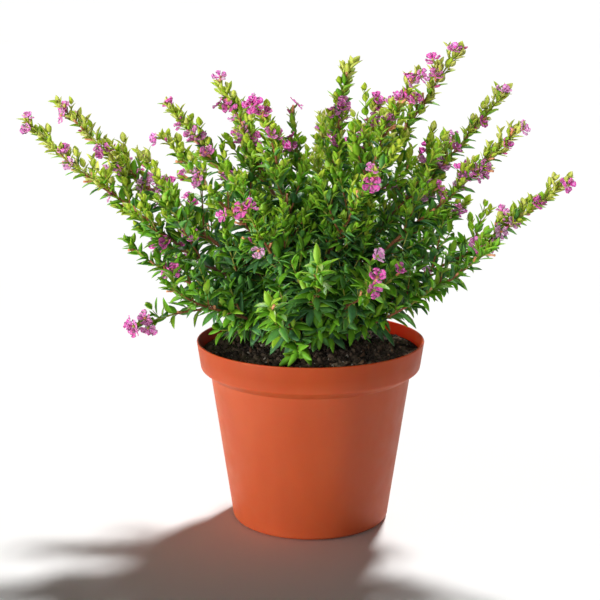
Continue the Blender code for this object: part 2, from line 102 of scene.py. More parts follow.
# The stems, from the lowest fork on the trunk to the highest: heading in degrees from +X,
# then the reach from the pot's axis and the height of the tip above the ground, in millimetres
STEMS = (
    ("right_foot", 328, 80, 146), ("back_low", 92, 108, 148), ("left_low", 190, 106, 168),
    ("front_low", 256, 91, 146), ("right_low", 340, 108, 168), ("back_low_left", 152, 104, 154),
    ("left_side", 220, 103, 154), ("right_long", 358, 145, 200), ("front_star", 272, 85, 167),
    ("left_long", 180, 160, 232), ("back_low_right", 30, 110, 178), ("front_right", 294, 81, 154),
    ("left_droop", 204, 105, 122), ("back_left_long", 143, 134, 205), ("front_lime", 312, 74, 158),
    ("left_second", 168, 150, 239), ("right_fourth", 352, 117, 230), ("back_long", 86, 138, 222),
    ("front_left", 241, 74, 193), ("back_right", 45, 128, 212), ("back_left", 112, 128, 223),
    ("right_third", 14, 117, 246), ("upper_left_front", 207, 90, 227), ("upper_right", 338, 63, 260),
    ("back_upper_left", 128, 72, 235), ("back_upper_right", 56, 76, 237), ("upper_left", 174, 82, 240),
    ("front_upper", 300, 68, 211), ("right_top", 10, 86, 270), ("centre_left", 226, 42, 241),
    ("centre_back", 104, 46, 233), ("crown", 23, 26, 262), ("crown_left", 156, 58, 250),
)
LOWEST_FORK = 107.0 * MM
HIGHEST_FORK = 149.0 * MM
FORK_DEPTH = 1.0 * MM
STRAIGHT_SLOPE = 50.0  # degrees above level at which a stem runs straight
FLATTER_BEND = 0.8
STEEPER_BEND = 0.5
FLATTEST_START = 10.0
STEEPEST_START = 56.0
ARCHING_SLOPE = 12.0
ARCH_START = 18.0
START_PULL = 0.22
END_PULL = 0.33
STEM_RADIUS = 1.35 * MM
STEM_TAPER = 0.72
LONG_STEM = 170.0 * MM
SHORT_STEM_SHARE = 0.75
BARE_SHARE = 0.34
TWIG_GAP = 7.0 * MM
FIRST_TWIG = BARE_SHARE + 0.03
LAST_TWIG = 0.86
TWIG_ANGLE = 42.0
TWIG_LIFT = 0.22
TWIG_SHARE = 0.40
TWIG_EXTRA = 9.0 * MM
TWIG_LONGEST = 52.0 * MM

# The finer growth, which only the render has
TWIG_RADIUS = 0.55 * MM
TWIG_TIP_RADIUS = 0.22 * MM
TWIG_RISE = 0.3  # how much of its length a twig bends up
OUTER_TWIGS = 0.45  # from here on a stem's twigs shorten towards its tip, and it ends as a bare spike
OUTER_SHORTENING = 0.75
SPREADING = math.sin(math.radians(62))  # a stem less steep than this has shorter twigs underneath
UNDERSIDE_SHARE = 0.66
TWIGLET_GAP = 13 * MM
TWIGLET_SHARE = 0.40
TWIGLET_EXTRA = 4.0 * MM
TWIGLET_LONGEST = 17.0 * MM
TWIGLET_RADIUS = 0.34 * MM
TWIGLET_END = 0.85
TWIGLET_ANGLE = (34, 54)  # degrees off its twig, by chance
BRANCHING_TWIG = 20 * MM  # shorter twigs have no twiglets
SHOOT_LIFT = 0.25
INNER_TWIGS = 4
INNER_ANGLE = (35, 60)
INNER_FIRST = 0.12
INNER_LENGTH = 32.0 * MM
BASAL_SHOOTS = 9
BASAL_LENGTH = 38.0 * MM
STEM_WOBBLE = 1.1 * MM
NODE_SWELL = 1.22
# Along a stem the bark is brown up to the first share of its length, a little further by chance, then
# russet for another share, then green. A twig has bark up to the last share.
BROWN_SHARE = 0.34
BROWN_VARIES = 0.22
RUSSET_SHARE = 0.3
TWIG_BARK = 0.45
TIP_ROOM = 4.0 * MM  # a shoot ends this far short of its tip, which its last leaves fill
# The share of their length that is left to the twigs of the thin stems
THIN = {
    "left_droop": 0.45, "left_side": 0.8, "left_low": 0.75, "back_low_left": 0.75, "right_low": 0.7,
    "right_foot": 0.7, "front_low": 0.8, "back_low": 0.8, "back_low_right": 0.9, "back_left_long": 0.65,
    "upper_left_front": 0.95, "centre_back": 0.7, "back_left": 0.8,
}
BARE_UNDER = 0.8  # below this share of its length a stem of the thinnest kind bears few leaves
BARE_GAPS = 1.6
# Twigs that stay short, by their rank on their stem
SHORT_TWIGS = {
    "left_long": (2, 5), "left_second": (3, 4, 6), "right_fourth": (4,), "right_top": (5,),
    "centre_left": (3,),
}
SHORT_SHARE = 0.55

# The leaves: lanceolate, in opposite pairs, each pair a quarter turn from the last
LEAF_OLD = 17.0 * MM
LEAF_ON_TWIG = 15.5 * MM
LEAF_ON_TWIGLET = 12.0 * MM
LEAF_IN_BUNCH = 9.0 * MM
LEAF_YOUNG = 6.0 * MM
LEAF_GROWTH_ON_STEM = 70.0 * MM
LEAF_GROWTH_ON_TWIG = 34.0 * MM
LOW_LEAF = 1.3  # leaves are this much larger at the height of the rim
HIGH_LEAF = 0.8  # and this much smaller at the top of the crown
TIP_LEAVES = {"crown": 1.35}  # stems whose youngest leaves are this much larger
LEAF_ASPECT = 0.41
LEAF_THICKNESS = 0.014
YOUNG_BROADER = 0.17
YOUNG_WITHIN = 22 * MM  # of its shoot's tip
NODE_GAP_OLD = 8.5 * MM
NODE_GAP_YOUNG = 2.2 * MM
NODE_GAP_GROWTH = 34.0 * MM
LEAF_ANGLE_OLD = 60.0
LEAF_ANGLE_YOUNG = 22.0
LEAF_ANGLE_GROWTH = 30.0 * MM
YOUNG_LIFT = 0.24  # how far a young leaf turns up from its shoot, and an old one hangs
OLD_DROOP = 0.26
LIFT_VARIES = (-0.08, 0.14)
SKYWARD = 0.9  # how far a leaf's upper side turns to the light, and how far it tilts by chance
TILT = 0.35
UNEVEN = (0.85, 1.15)  # the least and most of a size that varies by chance
UNEVEN_LENGTH = (0.82, 1.15)
BUNCH_LENGTH = 5.0 * MM
BUNCH_RADIUS = 0.25 * MM
BUNCH_SHARE = 0.65
BUNCHES_FROM = 7 * MM  # down from the tip
# Low shoots near the axis open their tip leaves like a star
LOW_TIP = 172 * MM
STAR_REACH = 96 * MM
STAR_ANGLE = 48.0
STAR_GAP = 3.4 * MM
STAR_LEAF = 10.0 * MM
STAR_ASPECT = 0.36
STAR_FRESHNESS = 0.72  # of the yellow in the young leaves of other shoots
STRONG_WITHIN = 45 * MM  # of the axis low leaves are at their largest
WEAK_BEYOND = 115 * MM  # from the axis they are at their smallest
YOUNGEST_LOW = 0.48  # low leaves look no younger than this, and a little by chance
CROWN_CENTRE = Vector((0, 0, 150 * MM))
CROWN_REACH = Vector((150, 120, 115)) * MM
CROWN_TOP = 270 * MM
# How young a leaf looks adds up from its place on its shoot, its place in the crown and chance. Up to
# each share of youth it has that green: share, two tints, roughness.
YOUTH_BY_AGE = 0.55
YOUTH_BY_LIGHT = 0.5
YOUTH_BY_CHANCE = 0.09
GREENS = {
    "deep": (0.26, "365E38", "487C48", 0.42), "dark": (0.42, "467834", "5C9446", 0.42),
    "mid": (0.58, "57921F", "6CA42A", 0.42), "fresh": (0.76, "6E9E20", "86AE2E", 0.46),
    "lime": (0.95, "8CA628", "A6B83A", 0.5), "pale": (math.inf, "A4AE42", "C0C468", 0.5),
}
# The leaves' outlines: (place along the leaf, half its width), for a length and width of one
POINTED_LEAF = ((0.05, 0.07), (0.16, 0.30), (0.37, 0.49), (0.62, 0.44), (0.85, 0.23))
BLUNT_LEAF = ((0.05, 0.08), (0.17, 0.32), (0.4, 0.5), (0.66, 0.45), (0.88, 0.22))

# The blossom
TUBE_LENGTH = 5.2 * MM
TUBE_RADIUS = 0.75 * MM
PETAL_LENGTH = 4.7 * MM
PETAL_WIDTH = 4.1 * MM
PETAL_THICKNESS = 0.12 * MM
PETAL_RUFFLE = 0.45 * MM
PETAL_CUP = 0.5 * MM
PETAL_OUTLINE = ((0.0, 0.13), (0.32, 0.42), (0.6, 0.88), (0.85, 0.94), (1.0, 0.42))  # length, width
PETALS = 6
PETAL_LIFT = 28.0
OPENING = (-22, 26)  # degrees that are added to the lift of a whole blossom, by chance
PETAL_VARIES = 20  # degrees either way for a single petal
PETAL_SIZES = (0.8, 1.12)
BLOOM_ANGLE = (35, 70)  # degrees off its shoot, by chance
CLUSTER_SPREAD = 6  # millimetres along the shoot
SPENT_BESIDE = 0.5  # the share of clusters with a spent tube, and with a bud
BUD_BESIDE = 0.6
SMALLEST_BLOOM = 0.74  # one that has just opened
LARGEST_BLOOM = 1.1
TWIG_FLOWERS = 0.06  # the share of outer twigs that end in blossom, at this distance from the axis
FULL_BLOOM = 110 * MM
SHOWN_FRONT = 0.75  # how far the blossoms below turn towards the viewer

# Where the stems towards the viewer flower: percent of the stem's length, and the number of blossoms
SHOWN_CLUSTERS = {
    "left_long": {95: 3, 81: 2, 68: 1, 45: 1}, "back_left_long": {90: 1, 82: 4, 77: 2, 58: 1},
    "left_second": {94: 2, 87: 1, 78: 3, 69: 2, 63: 3, 57: 2}, "upper_left": {89: 1, 76: 3, 71: 2},
    "upper_left_front": {95: 1, 70: 3}, "left_low": {72: 1}, "left_side": {},
    "left_droop": {97: 3, 86: 2}, "crown_left": {97: 1, 72: 3}, "back_upper_left": {76: 2, 62: 2},
    "back_left": {90: 2, 75: 2}, "back_long": {95: 1, 90: 1, 80: 1, 60: 1},
    "centre_left": {95: 4, 84: 1}, "centre_back": {95: 1, 78: 1}, "crown": {78: 2, 72: 4, 66: 3},
    "back_upper_right": {92: 4, 84: 2, 78: 1}, "upper_right": {92: 3, 84: 2, 73: 2},
    "front_upper": {90: 2}, "front_left": {93: 2}, "front_right": {95: 2}, "front_lime": {95: 1},
    "front_star": {}, "front_low": {}, "right_top": {98: 1, 82: 1},
    "right_third": {98: 2, 80: 1, 72: 1, 63: 3}, "right_fourth": {93: 2, 77: 3, 72: 3, 60: 1},
    "right_long": {96: 2, 80: 1, 72: 2, 67: 2, 62: 2, 40: 1}, "back_low_right": {90: 2, 84: 2},
    "right_low": {}, "right_foot": {},
}
CLUSTER_EVERY = 50 * MM  # along the other stems
CLUSTER_SIZES = (1, 2, 2, 3)
LOWEST_CLUSTER = 0.52
HIGHEST_CLUSTER = 0.93
SPENT_EVERY = 32 * MM  # spent tubes along all stems
SPENT_FROM = 0.45
SPENT_TO = 0.92
# The twigs that end in blossom besides, by their rank on their stem
SHOWN_TWIGS = {
    "left_low": (5,), "back_left_long": (6, 9), "crown_left": (4,), "centre_left": (5,),
    "centre_back": (4,), "upper_right": (6,), "right_top": (0, 4), "right_fourth": (2,),
    "right_long": (4, 7),
}
# Short shoots in blossom: the share of the stem's length, the side, the length in millimetres and
# the number of blossoms
SIDES = {"up": UP, "left": Vector((-1, 0, 0)), "right": Vector((1, 0, 0))}
SHOWN_SPRIGS = {
    "left_long": ((0.7, "up", 7, 1), (0.42, "up", 8, 2)), "crown_left": ((0.84, "left", 6, 2),),
    "front_left": ((0.86, "left", 11, 1), (0.64, "left", 10, 1)),
    "upper_left_front": ((0.72, "left", 12, 1),), "front_right": ((0.9, "up", 12, 1),),
    "right_top": ((0.84, "up", 7, 1),), "right_third": ((0.44, "up", 10, 1),),
    "right_fourth": ((0.84, "right", 7, 1), (0.76, "right", 8, 1)),
}

# The camera, from the fit to the pot's rim, band and foot in the photo
IMAGE_SIZE = 600
FOCAL_PIXELS = 1451.6
SENSOR = 36.0
CAMERA_PLACE = (-0.006, -0.8066, 0.3068)
CAMERA_PITCH = math.radians(12.5)

# The room's light: white walls up to one height, then dimmer towards the ceiling. Both are sines of
# the angle above the horizon.
WALL_TOP = 0.15
CEILING_START = 0.32
CEILING_LIGHT = 0.07
DIM_WALL = 0.6  # the light of the walls on the right, as a share of the others'
FLOOR_REACH = 120  # metres, so that the floor's edge is lost at the horizon


def linear(colour):
    """An sRGB hex colour as linear red, green, blue and alpha."""
    channels = [int(colour[i : i + 2], 16) / 255 for i in (0, 2, 4)]
    return (*(((c + 0.055) / 1.055) ** 2.4 if c > 0.04045 else c / 12.92 for c in channels), 1)


def feed(node, inputs):
    """Sets a node's inputs. Each is a value, a socket, or a node whose first output is meant."""
    for key, value in inputs.items():
        if isinstance(value, bpy.types.Node):
            value = value.outputs[0]
        if isinstance(value, bpy.types.NodeSocket):
            node.id_data.links.new(value, node.inputs[key])
        else:
            node.inputs[key].default_value = value


def add(tree, kind, inputs=None, **settings):
    """Adds a node with its settings and inputs. Its kind is written without its family's prefix."""
    families = ("GeometryNode", "ShaderNode", "FunctionNode")
    node = tree.nodes.new(next(f + kind for f in families if hasattr(bpy.types, f + kind)))
    for name, value in settings.items():
        setattr(node, name, value)
    feed(node, inputs or {})
    return node


def material(name, roughness, **inputs):
    """A material, its tree, its Principled shader with those inputs, and the object coordinates that
    its patterns read."""
    made = bpy.data.materials.new(name)
    made.use_nodes = True
    tree = made.node_tree
    shader = tree.nodes["Principled BSDF"]
    feed(shader, {"Roughness": roughness, **{key.replace("_", " "): inputs[key] for key in inputs}})
    return made, tree, shader, add(tree, "TexCoord").outputs["Object"]


def mottle(tree, coords, size, detail=3.0, stretch=(1, 1, 1)):
    """A noise whose lumps have that size in metres, longer where stretch is under one."""
    place = add(tree, "Mapping", {"Vector": coords, "Scale": stretch})
    return add(tree, "TexNoise", {"Vector": place, "Scale": 1 / size, "Detail": detail})


def between(tree, factor, low, high, first, second):
    """A colour that goes from the first to the second as the factor goes from low to high."""
    ramp = add(tree, "ValToRGB", {"Fac": factor})
    for stop, position, colour in zip(ramp.color_ramp.elements, (low, high), (first, second)):
        stop.position = position
        stop.color = linear(colour)
    return ramp


def skin(tree, shader, tint, lumps, depth):
    """Gives a shader its tint, and a relief of that depth in metres."""
    bump = add(tree, "Bump", {"Height": lumps, "Distance": depth, "Strength": 1.0})
    feed(shader, {"Base Color": tint, "Normal": bump})


def moulded_polypropylene():
    """Injection-moulded polypropylene: an even terracotta tint, a satin sheen that is duller where it was
    handled, faint flow lines from the gate and light that soaks a little way into the thin wall. Inside,
    painted light brightens the tint on the right and painted shade darkens it towards the left; outside,
    a painted sheen makes it paler below the band."""
    made, tree, shader, coords = material(
        "moulded_polypropylene", 0.4, IOR=1.49, Specular_IOR_Level=0.25, Subsurface_Weight=0.8,
        Subsurface_Scale=0.004, Subsurface_Radius=(1.0, 0.3, 0.12),
    )
    flow = mottle(tree, coords, 18 * MM, stretch=(1, 1, 0.3))
    along, _, height = add(tree, "SeparateXYZ", {"Vector": coords}).outputs
    sides = []
    for place, start, end, tints, changed in (
        # outside: paler tints below the band, a painted sheen
        (height, PAINTED_SHEEN_BELOW, PAINTED_SHEEN_BELOW - 8 * MM, ("96380C", "A24110"), ("A04420", "AC4E28")),
        # inside: a brighter tint on the right that is painted light, and a darker one on the left that is
        # painted shade
        (along, PAINTED_SHADE_FROM, PAINTED_SHADE_TO, ("C8480A", "D2500C"), ("7A2E06", "843208")),
    ):
        side = add(tree, "Mix", {
            "Factor": add(tree, "MapRange", {"Value": place, "From Min": start, "From Max": end}),
            "A": between(tree, flow, 0.25, 0.8, *tints), "B": between(tree, flow, 0.25, 0.8, *changed),
        }, data_type="RGBA")
        sides.append(side.outputs["Result"])
    outward = add(tree, "VectorMath", {0: coords, 1: (1, 1, 0)}, operation="MULTIPLY")
    normal = add(tree, "NewGeometry").outputs["Normal"]
    away = add(tree, "VectorMath", {0: normal, 1: outward}, operation="DOT_PRODUCT").outputs["Value"]
    # the inside of the wall takes the tints of painted light and painted shade
    inward = add(tree, "Math", {0: away, 1: -0.01}, operation="LESS_THAN")
    tint = add(tree, "Mix", {"Factor": inward, "A": sides[0], "B": sides[1]}, data_type="RGBA")
    handled = add(tree, "MapRange", {
        "Value": mottle(tree, coords, 9 * MM, detail=6), "From Min": 0.3, "From Max": 0.7,
        "To Min": 0.46, "To Max": 0.6,
    })
    feed(shader, {"Roughness": handled})
    skin(tree, shader, tint.outputs["Result"], mottle(tree, coords, 0.8 * MM, detail=4), 0.02 * MM)
    return made


def potting_compost(name, dark, light):
    """Moist peat and composted bark: nearly black, matt, browner where it has dried."""
    made, tree, shader, coords = material(name, 0.92, Specular_IOR_Level=0.25)
    tint = between(tree, mottle(tree, coords, 11 * MM, detail=10), 0.4, 0.62, dark, light)
    skin(tree, shader, tint, mottle(tree, coords, 0.9 * MM, detail=8), 0.4 * MM)
    return made


def young_bark(name, dark, light, grain):
    """Thin bark of a small shrub: smooth but for fine lengthwise furrows, its tint darker down in the
    furrows and paler on the ridges.
    """
    made, tree, shader, coords = material(name, 0.72, Specular_IOR_Level=0.35)
    furrows = mottle(tree, coords, grain, detail=6, stretch=(1, 1, 0.35))
    skin(tree, shader, between(tree, furrows, 0.3, 0.7, dark, light), furrows, 0.25 * MM)
    return made


def living_leaf(name, dark, light, roughness):
    """A living leaf: a waxy skin over green tissue that lets some light through."""
    made, tree, shader, coords = material(
        name, roughness, IOR=1.42, Specular_IOR_Level=0.27, Subsurface_Weight=0.25,
        Subsurface_Scale=0.0006, Subsurface_Radius=(0.6, 1.0, 0.15),
    )
    tint = between(tree, mottle(tree, coords, 5 * MM, detail=4), 0.32, 0.68, dark, light)
    skin(tree, shader, tint, mottle(tree, coords, 1.1 * MM, detail=3), 0.12 * MM)
    return made


def petal_tissue(name, dark, light):
    """A thin crinkled petal: matt, a little translucent, its tint varying in small patches."""
    made, tree, shader, coords = material(
        name, 0.6, IOR=1.4, Subsurface_Weight=0.8, Subsurface_Scale=0.0014,
        Subsurface_Radius=(1.0, 0.3, 0.8), Sheen_Weight=0.1,
    )
    tint = between(tree, mottle(tree, coords, 1.4 * MM, detail=3), 0.3, 0.7, dark, light)
    skin(tree, shader, tint, mottle(tree, coords, 0.5 * MM, detail=2), 0.1 * MM)
    return made


def new_tree(name, **sockets):
    """A geometry tree and its inputs by name. Sockets give the kind of each input."""
    tree = bpy.data.node_groups.new(name, "GeometryNodeTree")
    for way in ("INPUT", "OUTPUT"):
        tree.interface.new_socket("Geometry", in_out=way, socket_type="NodeSocketGeometry")
    for key, kind in sockets.items():
        tree.interface.new_socket(key.replace("_", " "), in_out="INPUT", socket_type="NodeSocket" + kind)
    return tree, tree.nodes.new("NodeGroupInput").outputs


def close_tree(tree, geometry, finish):
    """Ends a tree: instances made real, smooth faces and their material."""
    real = add(tree, "RealizeInstances", {"Geometry": geometry})
    smooth = add(tree, "SetShadeSmooth", {0: real})
    painted = add(tree, "SetMaterial", {"Geometry": smooth, "Material": finish})
    feed(tree.nodes.new("NodeGroupOutput"), {"Geometry": painted})
    return tree


def limb_tree():
    """Round limbs along lines: each point of a line has the attribute thick, its radius. Relief lifts
    the bark in furrows that run along Z."""
    tree, given = new_tree(
        "limbs_along_lines", Sides="Int", Relief="Float", Furrow_Width="Float", Furrow_Stretch="Float",
        Material="Material",
    )
    tube = add(tree, "CurveToMesh", {
        "Curve": add(tree, "MeshToCurve", {"Mesh": given["Geometry"]}),
        "Profile Curve": add(tree, "CurvePrimitiveCircle", {"Resolution": given["Sides"], "Radius": 1.0}),
        "Scale": add(tree, "InputNamedAttribute", {"Name": "thick"}, data_type="FLOAT"),
        "Fill Caps": True,
    })
    welded = add(tree, "MergeByDistance", {"Geometry": tube, "Distance": WELD})
    stretch = add(tree, "CombineXYZ", {"X": 1.0, "Y": 1.0, "Z": given["Furrow Stretch"]})
    drawn = add(tree, "VectorMath", {0: add(tree, "InputPosition"), 1: stretch}, operation="MULTIPLY")
    pitch = add(tree, "Math", {0: 1.0, 1: given["Furrow Width"]}, operation="DIVIDE")
    noise = add(tree, "TexNoise", {"Vector": drawn, "Scale": pitch, "Detail": 4.0})
    centred = add(tree, "Math", {0: noise, 1: 0.5}, operation="SUBTRACT")
    height = add(tree, "Math", {0: centred, 1: given["Relief"]}, operation="MULTIPLY")
    offset = add(tree, "VectorMath", {0: add(tree, "InputNormal"), "Scale": height}, operation="SCALE")
    lifted = add(tree, "SetPosition", {"Geometry": welded, "Offset": offset})
    return close_tree(tree, lifted, given["Material"])


def sprout_tree():
    """A shape on every point, aimed along the point's aim, its upper side towards its facing, and
    scaled by its size. Twist turns each one by chance about its own axes."""
    tree, given = new_tree(
        "sprouts_on_points", Shape="Object", Twist="Float", Uneven_Size="Float", Seed="Int",
        Material="Material",
    )
    shape = add(tree, "ObjectInfo", {"Object": given["Shape"]}).outputs["Geometry"]
    aim, facing, size = (
        add(tree, "InputNamedAttribute", {"Name": name}, data_type="FLOAT_VECTOR")
        for name in ("aim", "facing", "size")
    )
    turned_to = add(tree, "AxesToRotation", {"Primary Axis": aim, "Secondary Axis": facing},
                    primary_axis="Z", secondary_axis="Y")
    least = add(tree, "Math", {0: given["Twist"], 1: -1.0}, operation="MULTIPLY")
    low, high = (
        add(tree, "CombineXYZ", {"X": most, "Y": most, "Z": most}) for most in (least, given["Twist"])
    )
    chance = add(tree, "RandomValue", {0: low, 1: high, "Seed": given["Seed"]}, data_type="FLOAT_VECTOR")
    jolt = add(tree, "EulerToRotation", {0: chance})
    rotation = add(tree, "RotateRotation", {0: turned_to, 1: jolt}, rotation_space="LOCAL")
    smallest, largest = (
        add(tree, "Math", {0: 1.0, 1: given["Uneven Size"]}, operation=way) for way in ("SUBTRACT", "ADD")
    )
    share = add(tree, "RandomValue", {2: smallest, 3: largest, "Seed": given["Seed"]}).outputs[1]
    placed = add(tree, "InstanceOnPoints", {
        "Points": given["Geometry"], "Instance": shape, "Rotation": rotation,
        "Scale": add(tree, "VectorMath", {0: size, "Scale": share}, operation="SCALE"),
    })
    return close_tree(tree, placed, given["Material"])


def crumb_tree():
    """Crumbs strewn over a surface: lumps of uneven size and turn, dented by noise, part sunk in."""
    tree, given = new_tree(
        "crumbs_on_surface", Crumb_Size="Float", Longer="Float", Spacing="Float", Seed="Int",
        Material="Material",
    )
    seed = given["Seed"]
    points = add(tree, "DistributePointsOnFaces", {
        "Mesh": given["Geometry"], "Distance Min": given["Spacing"], "Density Max": 4e5, "Seed": seed,
    }, distribute_method="POISSON")
    half_turn = (math.pi, math.pi, math.pi)
    chance, share = (
        add(tree, "RandomValue", {0: least, 1: most, "Seed": seed}, data_type="FLOAT_VECTOR")
        for least, most in (((0, 0, 0), half_turn), ((0.35, 0.3, 0.3), (1.2, 0.9, 0.8)))
    )
    long = add(tree, "CombineXYZ", {"X": given["Longer"], "Y": 1.0, "Z": 1.0})
    shape = add(tree, "VectorMath", {0: share, 1: long}, operation="MULTIPLY")
    strewn = add(tree, "InstanceOnPoints", {
        "Points": points, "Instance": add(tree, "MeshIcoSphere", {"Radius": 0.5, "Subdivisions": 1}),
        "Rotation": add(tree, "EulerToRotation", {0: chance}),
        "Scale": add(tree, "VectorMath", {0: shape, "Scale": given["Crumb Size"]}, operation="SCALE"),
    })
    real = add(tree, "RealizeInstances", {"Geometry": strewn})
    pitch = add(tree, "Math", {0: 1.6, 1: given["Crumb Size"]}, operation="DIVIDE")
    noise = add(tree, "TexNoise", {"Scale": pitch, "Detail": 2.0}).outputs["Color"]
    centred = add(tree, "VectorMath", {0: noise, 1: (0.5, 0.5, 0.5)}, operation="SUBTRACT")
    dent = add(tree, "VectorMath", {0: centred, "Scale": given["Crumb Size"]}, operation="SCALE")
    dented = add(tree, "SetPosition", {"Geometry": real, "Offset": dent})
    return close_tree(tree, dented, given["Material"])


def place_object(name, data):
    obj = bpy.data.objects.new(name, data)
    bpy.context.scene.collection.objects.link(obj)
    return obj


def mesh_of(name, bm):
    mesh = bpy.data.meshes.new(name)
    bm.to_mesh(mesh)
    bm.free()
    return mesh


def finished_mesh(obj):
    """The plain mesh that an object's modifiers give."""
    graph = bpy.context.evaluated_depsgraph_get()
    return bpy.data.meshes.new_from_object(obj.evaluated_get(graph))


def piece(obj, nodes):
    """Makes an object a piece of the plant that stands for those solids."""
    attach(obj, "root")
    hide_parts(*nodes)
    return obj


def grown(name, mesh, tree, slot, nodes, **inputs):
    """A piece grown by a geometry tree from a mesh of points, lines or faces."""
    host = place_object(name + "_host", mesh)
    modifier = host.modifiers.new("grow", "NODES")
    modifier.node_group = tree
    for item in tree.interface.items_tree:
        key = item.name.replace(" ", "_")
        if item.in_out == "INPUT" and key in inputs:
            modifier[item.identifier] = inputs[key]
    result = finished_mesh(host)
    bpy.data.objects.remove(host)
    result.name = name
    for used_up in ("aim", "facing", "size", "thick"):
        if used_up in result.attributes:
            result.attributes.remove(result.attributes[used_up])
    return piece(place_object(name, result), nodes)


def sprouted(name, rows, tree, shape, finish, twist=0.0, uneven=0.0, seed=1):
    """A piece of foliage: a shape on each row of (root, aim, facing, size)."""
    mesh = bpy.data.meshes.new("sprout_points")
    mesh.from_pydata([row[0] for row in rows], [], [])
    for column, label in ((1, "aim"), (2, "facing"), (3, "size")):
        values = np.array([tuple(row[column]) for row in rows], np.float32)
        mesh.attributes.new(label, "FLOAT_VECTOR", "POINT").data.foreach_set("vector", values.ravel())
    grown(name, mesh, tree, "foliage", MASS_NODES, Shape=shape, Material=finish, Twist=twist,
          Uneven_Size=uneven, Seed=seed)


def line_mesh(lines):
    """A mesh of loose lines from (points, radii) pairs."""
    mesh = bpy.data.meshes.new("limb_lines")
    places = [point for points, _ in lines for point in points]
    edges = []
    start = 0
    for points, _ in lines:
        edges += [(start + k, start + k + 1) for k in range(len(points) - 1)]
        start += len(points)
    mesh.from_pydata(places, edges, [])
    radii = [radius for _, values in lines for radius in values]
    mesh.attributes.new("thick", "FLOAT", "POINT").data.foreach_set("value", radii)
    return mesh


def rounded(corners):
    """A profile of (radius, height, fillet) corners, each fillet drawn as an arc of five points."""
    points = []
    for k, (x, z, fillet) in enumerate(corners):
        corner = Vector((x, z))
        if fillet == 0:
            points.append(corner)
            continue
        before = (Vector(corners[k - 1][:2]) - corner).normalized()
        after = (Vector(corners[k + 1][:2]) - corner).normalized()
        half = before.angle(after) / 2
        reach = fillet / math.tan(half)
        middle = corner + (before + after).normalized() * (fillet / math.sin(half))
        start = corner + before * reach - middle
        end = corner + after * reach - middle
        points += [middle + start.lerp(end, t).normalized() * fillet for t in np.linspace(0, 1, 5)]
    return points


def turned(name, profile, finish):
    """A profile at +X, from the inside middle over the rim to the outside middle, turned round Z."""
    mesh = bpy.data.meshes.new(name)
    edges = [(k, k + 1) for k in range(len(profile) - 1)]
    mesh.from_pydata([(p.x, 0, p.y) for p in profile], edges, [])
    host = place_object(name + "_profile", mesh)
    screw = host.modifiers.new("turn", "SCREW")
    screw.steps = screw.render_steps = TURNED_STEPS
    screw.use_merge_vertices = True
    screw.merge_threshold = WELD
    result = finished_mesh(host)
    bpy.data.objects.remove(host)
    result.materials.append(finish)
    result.shade_smooth()
    return place_object(name, result)


def pot():
    """The moulded pot, with its drain holes cut through the floor."""
    inner = RIM_RADIUS - POT_WALL
    fine = 0.5 * MM
    body = turned("pot_body", rounded([
        (0, POT_FLOOR, 0),
        (BASE_RADIUS - POT_WALL - 0.4 * MM, POT_FLOOR, 2.0 * MM),
        (BODY_TOP_RADIUS - POT_WALL, SHOULDER + 0.5 * MM, 1.2 * MM),
        (inner - BAND_TAPER, BAND_FOOT + 0.8 * MM, 1.4 * MM),
        (inner, POT_HEIGHT, fine),
        (RIM_RADIUS, POT_HEIGHT, fine),
        (RIM_RADIUS - BAND_TAPER, BAND_FOOT, 2.2 * MM),
        (BODY_TOP_RADIUS, SHOULDER, 0.8 * MM),
        (BASE_RADIUS, 0, 3.0 * MM),
        (0, 0, 0),
    ]), moulded_polypropylene())
    bm = bmesh.new()
    for k in range(DRAIN_HOLES):
        turn = math.tau * (k + 0.5) / DRAIN_HOLES
        place = (math.cos(turn) * DRAIN_RING, math.sin(turn) * DRAIN_RING, POT_FLOOR / 2)
        bmesh.ops.create_cone(
            bm, cap_ends=True, segments=32, radius1=DRAIN_RADIUS, radius2=DRAIN_RADIUS,
            depth=3 * POT_FLOOR, matrix=Matrix.Translation(place),
        )
    drills = place_object("drain_drills", mesh_of("drain_drills", bm))
    cut = body.modifiers.new("drain", "BOOLEAN")
    cut.operation = "DIFFERENCE"
    cut.object = drills
    result = finished_mesh(body)
    body.modifiers.clear()
    body.data = result
    bpy.data.objects.remove(drills)
    result.set_sharp_from_angle(angle=math.radians(50))
    piece(body, ["pot"])


def off_axis(point):
    return math.hypot(point.x, point.y)


def soil_height(radius):
    """The mound's height at that distance from the axis."""
    edge = RIM_RADIUS - POT_WALL - 1 * MM
    share = max(0.0, (radius - SOIL_FLAT) / (edge - SOIL_FLAT))
    return SOIL_TOP - (SOIL_TOP - SOIL_EDGE) * share**1.3


